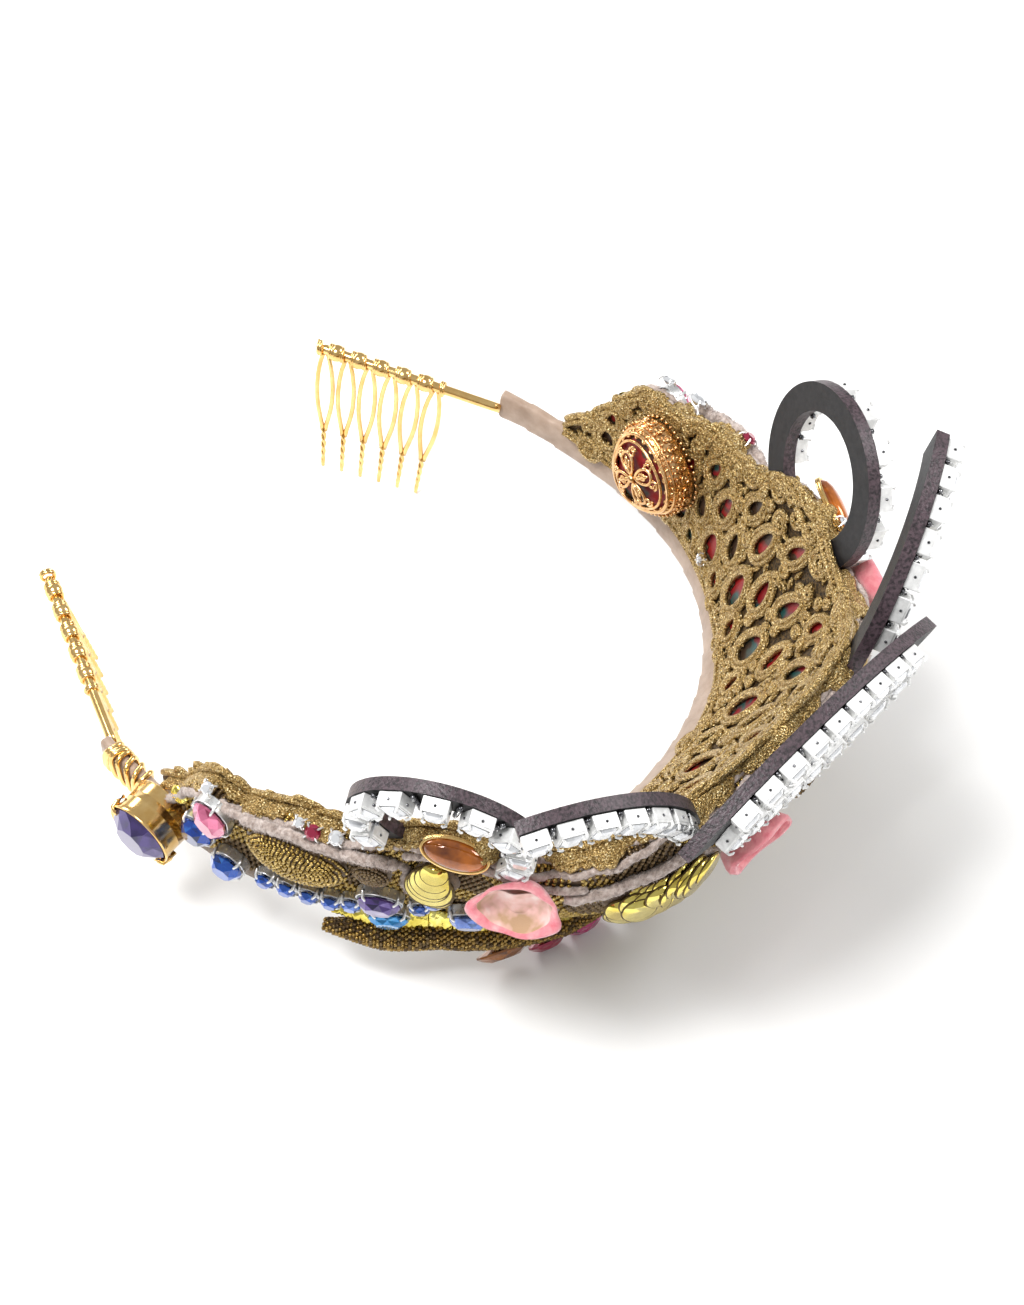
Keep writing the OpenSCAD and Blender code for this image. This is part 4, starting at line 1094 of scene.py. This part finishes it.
def boss():
    """Puffed filigree: scrolled wire over a domed frame, pierced, with dark cloth behind."""
    b = Build()
    half_x, half_y, lobe = 10.6, 10.9, .07
    o, m = place(72, 22.5, -1.7)
    m = np.stack([-m[0], m[1], -m[2]])

    def skin(x, y, lift=0.0):
        r = np.hypot(x, y)
        w = np.arctan2(y, x)
        edge = 10.7 * (1 + lobe * np.cos(3 * w))
        t = np.clip(r / edge, 0, 1)
        h = 9.9 * np.interp(t, (0, .3, .5, .7, .84, .95, 1), (1, .99, .965, .9, .8, .6, .4)) + lift
        return np.stack([x, y, h], -1)

    def wire(path, r, lift=0.0, closed=False, sides=8):
        path = np.asarray(path, float)
        q = skin(path[:, 0], path[:, 1], lift)
        b.add(*tube(o + q @ m, r, sides, closed, up=m[2]), slot=0)

    w = circle(72)
    heart = 1 + lobe * np.cos(3 * w)
    round_x, round_y = heart * np.cos(w), heart * np.sin(w)
    # domed shell behind the wires
    rows = [(.5, 0), (.9, .05), (1.0, .22), (1.0, .42), (.94, .62), (.84, .77)]
    pts = np.concatenate([np.stack([half_x * f * round_x, half_y * f * round_y, 9.6 * h + 0 * w], -1)
                          for f, h in rows])
    b.add(o + pts @ m, grid_faces(len(rows), 72, True) + caps(len(rows), 72)[:1])
    inner = np.concatenate([np.stack([10 * f * round_x, 10.3 * f * round_y, h + 0 * w], -1)
                            for f, h in ((.94, 5.6), (.84, 7.0), (.6, 7.9), (.3, 8.3), (.02, 8.4))])
    b.add(o + inner @ m, grid_faces(5, 72, True), 1)
    for f, r, lift in ((.86, .55, .15), (.74, .38, .1), (.93, .42, 0)):
        wire(np.stack([half_x * f * round_x, half_y * f * round_y], -1), r, lift, True)
    # four-lobed middle: paired scrolls and a leaf in each quarter
    for j in range(4):
        a0 = math.radians(45 + 90 * j)
        c, s = math.cos(a0), math.sin(a0)

        def turn(q):
            return np.stack([q[:, 0] * c - q[:, 1] * s, q[:, 0] * s + q[:, 1] * c], -1)
        t = circle(26)
        loop = np.stack([3.7 - 2.5 * np.cos(t), 1.75 * np.sin(t) * (1 - .35 * np.cos(t))], -1)
        wire(turn(loop), .42, .1, True)
        for hand in (-1, 1):
            q = spiral(1.25, .3, 1.25, 0, hand, 18) + (5.9, hand * 2.2)
            wire(turn(q), .36, .05)
            q = spiral(1.0, .25, .95, 2, -hand, 14) + (3.7, hand * .1)
            wire(turn(q), .3, .15)
        bud = np.stack([np.linspace(1.2, 5.6, 9), np.zeros(9)], -1)
        wire(turn(bud), np.array([.2, .4, .62, .5, .3, .45, .55, .4, .15]), .2)
    for j in range(22):
        a0 = 2 * math.pi * j / 22
        e = 1 + lobe * math.cos(3 * a0)
        q = spiral(1.2, .2, .85, a0, 1 if j % 2 else -1, 13)
        wire(q + (9.05 * e * math.cos(a0), 9.25 * e * math.sin(a0)), .3, -.15)
    # scroll band round the lower side of the shell
    for j in range(26):
        a0 = 2 * math.pi * j / 26
        e = 1 + lobe * math.cos(3 * a0)
        q = spiral(1.2, .2, 1.15, 1.5, 1 if j % 2 else -1, 14)
        cx, sx = math.cos(a0), math.sin(a0)
        p = np.stack([10.75 * e * cx - q[:, 0] * sx, 11.0 * e * sx + q[:, 0] * cx, 3.4 + q[:, 1] * 1.25], -1)
        b.add(*tube(o + p @ m, .34, 6, up=m[2]), slot=0)
    places = []
    for t in circle(46):
        e = 1.02 * (1 + lobe * math.cos(3 * t))
        for h in (1.0, 5.7):
            p = np.array((half_x * e * math.cos(t), half_y * e * math.sin(t), h))
            places.append((o + p @ m, m, .42))
    places.append((o + np.array((0, 0, 10.2)) @ m, m, 1.0))
    b.many(*FINE_BEAD, places)
    b.piece("pierced_boss", [GILT_DARK, STONE_BACKS], "filigree_boss", slot="gilt_filigree")


# crest
SETTING, DEEP = 5.7, 3.2
RING_D, RING_BAND, HORN_R = 41.0, 6.4, 37.0
HORN_MID = np.array((22.0, -14.0))
OVAL_L, OVAL_H = 81.0, 27.0
RING_PLACE, HORN_PLACE, OVAL_PLACE = (41, 60.4), (20, 68), (0, 71)


def crest_places():
    """Every setting: origin on its plate's middle plane and axes, for the side parts and the oval."""
    side, middle = [], []

    def spot(o, m, x, y, turn):
        c, s = cos_sin(turn)
        return o + x * m[0] + y * m[1], np.stack([c * m[0] + s * m[1], c * m[1] - s * m[0], m[2]])
    o, m = place(*RING_PLACE, PLATE_AT)
    r = RING_D / 2 - RING_BAND / 2
    for k in range(9):
        w = -27 + k * (180 + 54) / 8
        c, s = cos_sin(w)
        side.append(spot(o, m, r * c, r * s, w))
    o, m = place(*HORN_PLACE, PLATE_AT)
    r = HORN_R - RING_BAND / 2 - .4
    for k in range(7):
        w = 156 - k * 12.2
        c, s = cos_sin(w)
        side.append(spot(o, m, HORN_MID[0] + r * c, HORN_MID[1] + r * s, w))
    o, m = place(*OVAL_PLACE, OVAL_AT)
    high = OVAL_H / 2
    big = ((OVAL_L / 2) ** 2 + high ** 2) / (2 * high)
    r = big - RING_BAND / 2
    for hand in (-1, 1):
        for k in range(9):
            w = hand * 90 + (k - 4) * 6
            c, s = cos_sin(w)
            middle.append(spot(o, m, r * c, hand * (high - big) + r * s, w))
    return side, middle


def setting_box(b):
    """Silver block with a bevelled rim, claws at its corners and a stud on each side."""
    h = SETTING / 2
    rows = [(h - .15, 0), (h, .15), (h, DEEP - .5), (h - .12, DEEP - .3), (h - .12, DEEP), (h - .5, DEEP),
            (h - .62, DEEP - 1.6)]
    base = PLATE / 2 + .1

    def square(s, z, c=.16):
        return [(s, s - c, z), (s - c, s, z), (c - s, s, z), (-s, s - c, z), (-s, c - s, z), (c - s, -s, z),
                (s - c, -s, z), (s, c - s, z)]
    pts = np.array([q for s, z in rows for q in square(s, base + z)])
    b.add(pts, grid_faces(len(rows), 8, True) + caps(len(rows), 8))
    bends = [(h - .35, -.4), (h - .35, .5), (h - .8, .95), (h - 1.15, .9)]
    for x in (-1, 1):
        for y in (-1, 1):
            b.add(*tube([(x * s, y * s, base + DEEP + z) for s, z in bends], [.34, .34, .3, .2], 6))
    for x, y in ((1, 0), (-1, 0), (0, 1), (0, -1)):
        o = np.array((x * (h + .02), y * (h + .02), base + DEEP * .55))
        b.many(*FINE_BEAD, [(o, np.eye(3), .34)], 1)


def crest():
    side, middle = crest_places()
    box = Build()
    setting_box(box)
    box_pts = np.concatenate(box.points)
    cut_pts, cut_faces = square_cut(SETTING - 1.24)
    cut_pts = cut_pts + (0, 0, PLATE / 2 + .1 + DEEP)
    for places, name, nodes, stones in (
            (side, "crest_settings", ("ring_settings", "horn_settings"), "crest_crystals"),
            (middle, "oval_settings_fine", ("oval_settings",), "oval_crystals")):
        b, g, p = Build(), Build(), Build()
        for o, m in places:
            b.many(box_pts, box.faces, [(o, m, 1.0)])
            b.slots[-len(box.faces):] = box.slots
            g.many(cut_pts, cut_faces, [(o, m, 1.0)])
        rng = random.Random(4)
        for (o, m), (o2, m2) in zip(places, places[1:]):
            if np.linalg.norm(o2 - o) > 11:
                continue
            # small dark stones and prongs between two settings
            mid, up = (o + o2) / 2, m[2]
            toward = unit(m[0] + m2[0])
            gap = np.linalg.norm(o2 - o) - SETTING
            for j in range(6):
                q = mid + toward * (-2.7 + 1.08 * j) + up * (PLATE / 2 + .55 + rng.uniform(0, .35))
                p.many(*bead_shape(6, 2), [(q, m, min(.7, .36 + gap * .25))])
                tip = q + up * rng.uniform(.7, 1.1) + toward * rng.uniform(-.5, .5)
                p.add(*tube([q, tip], [.22, .12], 5), slot=1)
        if places is side:
            for s, build in both(b):
                build.piece(f"{name}_{s}", [MATT_SILVER, GUN], [f"{n}_{s}" for n in nodes], False,
                            "silver_settings")
            for s, build in both(g):
                build.piece(f"square_crystals_{s}", [CLEAR], f"{stones}_{s}", False, "crystal")
            for s, build in both(p):
                build.piece(f"prong_clusters_{s}", [GUN, SILVER], (), True, "silver_settings")
        else:
            b.piece(name, [MATT_SILVER, GUN], nodes, False, "silver_settings")
            g.piece("oval_square_crystals", [CLEAR], stones, False, "crystal")
            p.piece("oval_prong_clusters", [GUN, SILVER], (), True, "silver_settings")


# stones
CLEAR = jewel("clear_crystal", (.30, .31, .33), (.72, .73, .75), (.97, .97, .98), .5)
ROYAL = jewel("royal_glass", (.001, .008, .06), (.004, .05, .34), (.06, .30, .85))
BLUE = jewel("blue_glass", (.001, .010, .07), (.005, .075, .42), (.08, .36, .90))
PINK = jewel("pink_glass", (.28, .03, .08), (.70, .17, .31), (.95, .60, .70))
VIOLET = jewel("violet_glass", (.010, .005, .045), (.085, .045, .22), (.42, .34, .66))
LILAC = jewel("lilac_glass", (.006, .004, .035), (.055, .032, .16), (.30, .23, .52))
AQUA = jewel("aqua_glass", (.002, .06, .20), (.008, .24, .58), (.20, .62, .92))
SKY = jewel("sky_glass", (.02, .05, .22), (.10, .19, .55), (.45, .60, .92))
RED = jewel("red_glass", (.06, .002, .01), (.33, .010, .05), (.75, .14, .20))
MAGENTA = jewel("magenta_glass", (.12, .004, .05), (.50, .035, .17), (.90, .36, .50))
HONEY = jewel("honey_glass", (.07, .018, .003), (.28, .09, .010), (.65, .30, .06))

MAIN = {  # plan angle, height, width, height of the stone, spin, pear, glass
    "royal_round": (81.8, 17.8, 8, 8, 0, 0, ROYAL), "pink_pear": (78.2, 28.4, 8, 11.4, 157, 1, PINK),
    "blue_round": (77.2, 9, 7.8, 7.8, 0, 0, BLUE), "violet_oval": (49.4, 18.2, 9.6, 7.4, 6, 0, VIOLET),
    "aqua_oval": (48.2, 8.6, 8.8, 6, 0, 0, AQUA), "sky_oval": (34.6, 19.6, 8.8, 6.6, -12, 0, SKY)}
# plan angle, height, width, height of the stone
CHAIN = [(70.6, 9.2, 4.4, 4.4), (66.6, 9.4, 4.4, 4.4), (62.6, 9.6, 4.4, 4.4), (58.6, 9.9, 4.4, 4.4),
         (54.7, 11, 4.4, 4.4), (42.9, 15.6, 4.6, 4.2), (40.2, 20.2, 3.8, 3.6)]
HEM_STONES = [(29, -2.4, 12.4, 7.2), (20.6, -1.9, 9.4, 6.4), (13.4, -1.5, 9.6, 6.4), (5.2, -1.2, 9, 6)]
CUP, CHAIN_CUP, GIRDLE = 2.4, 2.0, .6


def cup(b, wide, tall, pear, high, o, m):
    """Pierced silver cup: a base ring, a rim ring and claws between them."""
    k = 28
    w = circle(k)
    shape = np.stack([np.cos(w) * (1 - pear * NARROWING * np.maximum(np.sin(w), 0)), np.sin(w)], -1)
    rows = [(.35, 0), (.38, .5), (.3, high - .25), (.42, high), (.1, high), (-.25, high - .7), (-.6, .2)]
    pts = np.concatenate([np.concatenate([shape * (wide / 2 + g, tall / 2 + g), np.full((k, 1), h)], 1)
                          for g, h in rows])
    b.add(o + pts @ m, grid_faces(len(rows), k, True) + caps(len(rows), k)[1:])
    for pts, faces in claws(wide, tall, pear, .2, high + GIRDLE + .1, (45, 135, 225, 315), .36, .8):
        b.add(o + pts @ m, faces)


def stones():
    cups, chain, chain_stones, hem_stones = Build(), Build(), Build(), Build()
    for name, (u, z, wide, tall, spin, pear, glass) in MAIN.items():
        o, m = place(u, z, seat(u, z) + .4, spin)
        cup(cups, wide, tall, pear, CUP, o, m)
        g = Build()
        pts, faces = gem(wide, tall, pear, 8, deep=.30)
        g.add(o + (pts + (0, 0, CUP + GIRDLE)) @ m, faces)
        for s, build in both(g):
            build.piece(f"{name}_cut_{s}", [glass], f"{name}_{s}", False, f"{name.split('_')[0]}_stone")
    for i, (u, z, wide, tall) in enumerate(CHAIN):
        o, m = place(u, z, seat(u, z))
        cup(chain, wide, tall, 0, CHAIN_CUP, o, m)
        pts, faces = gem(wide, tall, 0, 6, deep=.30)
        chain_stones.add(o + (pts + (0, 0, CHAIN_CUP + GIRDLE)) @ m, faces, 1 if i in (4, 6) else 0)
    for i, (u, z, wide, tall) in enumerate(HEM_STONES):
        o, m = place(u, z, seat(u, z) + 2 * HEM_R + .8)
        pts, faces = gem(wide, tall, 0, 8, high=.25, deep=.28)
        hem_stones.add(o + pts @ m, faces, i)
    for s in ("left", "right"):
        flip = (lambda v: v) if s == "left" else (lambda v: v.mirrored())
        flip(cups).piece(f"silver_claw_cups_{s}", [SILVER], f"claw_cups_{s}", slot="silver_claws")
        flip(chain).piece(f"silver_cup_chain_{s}", [SILVER], f"cup_chain_{s}", slot="silver_claws")
        flip(chain_stones).piece(f"chain_stones_cut_{s}", [BLUE, SKY], f"chain_stones_{s}", False,
                                 "chain_stone")
        flip(hem_stones).piece(f"hem_stones_cut_{s}", [HONEY, RED, MAGENTA, RED], f"hem_stones_{s}", False,
                               "hem_stone")


END_PLACE, END_STONE, END_SPIN = (89.3, 10.3), (15, 14.4), 14


def end_setting():
    """Deep plain gilt bezel with a rolled rim and two ball claws round the large lilac stone."""
    o, m = place(*END_PLACE, seat(*END_PLACE), END_SPIN)
    b, g = Build(), Build()
    rows = [(.98, 0), (1.0, .3), (.97, 3.6), (.99, 7.0), (1.02, 8.4), (1.055, 9.0), (1.04, 9.35),
            (.995, 9.25), (.985, 8.2), (.97, 1.4), (.5, 1.3)]
    pts, faces = lathe(rows, 64, (END_STONE[0] / 2 + .35, END_STONE[1] / 2 + .35))
    b.add(o + pts @ m, faces)
    for pts, faces in claws(END_STONE[0] + .8, END_STONE[1] + .8, 0, 5.8, 9.4, (20, 200), .6, 1.5):
        b.add(o + pts @ m, faces)
    pts, faces = gem(*END_STONE, 0, 10, .54, .22, .28)
    g.add(o + (pts * (.985, .985, 1) + (0, 0, 8.8)) @ m, faces)
    b.mirrored().piece("plain_gilt_bezel", [GILT], "end_bezel", slot="gilt_bezel")
    g.mirrored().piece("lilac_stone_cut", [LILAC], "end_stone", False, "lilac_stone")


def end_loops():
    """Gilt wire wound over the ribbon at the right end, where the comb's spine enters."""
    b = Build()
    for k in range(7):
        u = -95.4 - 1.25 * k
        w = circle(26)
        lean = .8 * np.sin(w + k)
        n = BAND_THICK / 2 + (BAND_THICK / 2 + .75) * signed_power(np.cos(w), .6)
        z = BAND_HIGH / 2 + (BAND_HIGH / 2 + .65) * signed_power(np.sin(w), .6)
        b.add(*tube(at(u + lean, z, n), .62, 8, True, up=(.3, .2, 1)))
    b.piece("gilt_end_loops", [GILT], slot="gilt_wire")


EDGE_STONES = [  # plan angle, drop below the top, distance out, size, glass
    (72.4, -1.2, 1.6, 4.2, 0), (-56.6, 2.2, 2.6, 3.4, 0), (-60.4, 2.4, 2.8, 3.6, 1),
    (-62.8, 1.6, 2.2, 2.4, 0), (60.4, 2.4, 2.8, 3.6, 1), (35.2, 1.2, 2.0, 2.2, 0),
    (-79.6, 1.0, 3.0, 3.0, 0), (79.6, 1.0, 3.0, 3.0, 0), (53, 30, -2.0, 1.8, 0)]


def edge_stones():
    """Small clear and red stones in claws along the wall's top edge, and one on the lace."""
    b = Build()
    for u, drop, n, size, glass in EDGE_STONES:
        o, m = place(u, float(wall_top(u)) - drop + (2 if n > 0 else 0), n + (1.4 if n > 0 else 0))
        m = turned(m, -60 if n > 0 else 180)
        pts, faces = gem(size, size, 0, 6, deep=.3)
        b.add(o + (pts + (0, 0, 1.1)) @ m, faces, glass)
        for pts, faces in claws(size, size, 0, .1, 1.3, (45, 135, 225, 315), .22, .5):
            b.add(o + pts @ m, faces, 2)
    b.piece("edge_stones", [CLEAR, RED, SILVER], (), False, "crystal")


# put together
satin_band()
padding()
carpet()
net()
lace()
gold_strip()
top_cloth()
curled_edge()
top_beads()
top_chenille()
PAIRS = [  # piece, its shape, materials, the node that it stands for, slot
    ("comb", lambda side: comb(), [GILT], "comb", "gilt_wire"),
    ("piping", piping, [CHENILLE], "piping", "chenille"),
    ("outline", outlines, [CHENILLE], None, "chenille"),
    ("seed_pad", seed_pads, [SEED, DARK_SEED, FELT], "bead_pad", "seed_beads"),
    ("sequin_pad", sequin_pads, [SEQUIN, FELT, SEQUIN_EDGE_SHADE], "sequin_pad", "gold_sequins"),
    ("foil_pad", foil_pads, [FOIL], "foil_pad", "gold_foil"),
    ("side_flower", lambda side: side_flower(), [FLOCK, PETAL, LEAF], "flower", "pink_flock"),
    ("amber_oval", lambda side: amber(), [AMBER, GILT], "amber", "amber_cabochon")]
for key, make, mats, node, slot_name in PAIRS:
    for s, side in (("left", 1), ("right", -1)):
        build = make(side) if side > 0 else make(side).mirrored()
        build.piece(f"{key}_{s}_fine", mats, f"{node}_{s}" if node else (), slot=slot_name)
front_flower().piece("front_flower_fine", [FLOCK, PETAL, LEAF], "flower_front", slot="pink_flock")
hem()
boss()
crest()
stones()
end_setting()
end_loops()
edge_stones()

PLATE_SPOTS = {"ring": RING_PLACE, "horn": HORN_PLACE, "oval": OVAL_PLACE}
for name in ("ring_plate_left", "ring_plate_right", "horn_plate_left", "horn_plate_right", "oval_plate"):
    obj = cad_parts[name]
    obj.data.materials.clear()
    obj.data.materials.append(ACRYLIC)
    obj.data.materials.append(CUT_EDGE)
    hand = -1 if name.endswith("right") else 1
    level_normal = Vector(axes(*PLATE_SPOTS[name[:4]])[2] * (hand, 1, 1))
    level_normal.rotate(Matrix.Rotation(TILT, 3, "X"))
    for f in obj.data.polygons:
        f.material_index = 0 if abs(f.normal.dot(level_normal)) > .6 else 1

# floor, light and camera
floor = bpy.data.meshes.new("floor")
floor.from_pydata([(-4, -4, 0), (4, -4, 0), (4, 4, 0), (-4, 4, 0)], [], [(0, 1, 2, 3)])
floor.materials.append(simple("floor_paint", [(.3, (.90, .90, .895)), (.7, (.93, .93, .925))], 3, (.7, .8)))
in_scene("floor", floor)

world = bpy.data.worlds.new("studio")
bpy.context.scene.world = world
world.use_nodes = True
sky = world.node_tree.nodes["Background"].inputs
sky["Color"].default_value = (1, 1, 1, 1)
sky["Strength"].default_value = .5


def area(name, where, size, power):
    light = bpy.data.lights.new(name, "AREA")
    light.shape, light.size, light.size_y, light.energy = "RECTANGLE", size[0], size[1], power
    o = in_scene(name, light)
    o.location = where
    o.rotation_euler = (Vector((0, 0, .04)) - Vector(where)).to_track_quat("-Z", "Y").to_euler()


area("key", (-.45, .1, 1.2), (.5, .4), 16)
area("fill", (.9, -.6, .8), (.5, .5), 8)
area("rim", (.2, 1.1, .6), (.7, .3), 7)

# camera: its direction, distance in mm and pixels per mm, and the pixel that shows the frame's origin
THETA, ELEV, ROLL = (math.radians(v) for v in (38.231, 53.463, 3.486))
DISTANCE, SCALE, CX, CY = 1159.17, 4.465, 383.30, 632.99
WIDE, HIGH, SENSOR = 1024, 1305, 36
look = np.array((math.cos(THETA) * math.cos(ELEV), math.sin(THETA) * math.cos(ELEV), -math.sin(ELEV)))
right = np.array((math.sin(THETA), -math.cos(THETA), 0))
above = np.cross(right, look)
right, above = (math.cos(ROLL) * right + math.sin(ROLL) * above,
                math.cos(ROLL) * above - math.sin(ROLL) * right)
eye = -(look * DISTANCE + right * (CX - WIDE / 2) / SCALE - above * (CY - HIGH / 2) / SCALE)
turn = np.array(((1, 0, 0), (0, math.cos(TILT), -math.sin(TILT)), (0, math.sin(TILT), math.cos(TILT))))
cam = bpy.data.cameras.new("camera")
cam.sensor_width = SENSOR
cam.lens = SCALE * DISTANCE / HIGH * SENSOR
cam.clip_start, cam.clip_end = .05, 30
m4 = np.eye(4)
m4[:3, 0], m4[:3, 1], m4[:3, 2], m4[:3, 3] = turn @ right, turn @ above, -turn @ look, rest(eye)
cam_obj = in_scene("camera", cam)
cam_obj.matrix_world = Matrix(m4.tolist())
bpy.context.scene.camera = cam_obj
bpy.context.scene.view_settings.view_transform = "Standard"
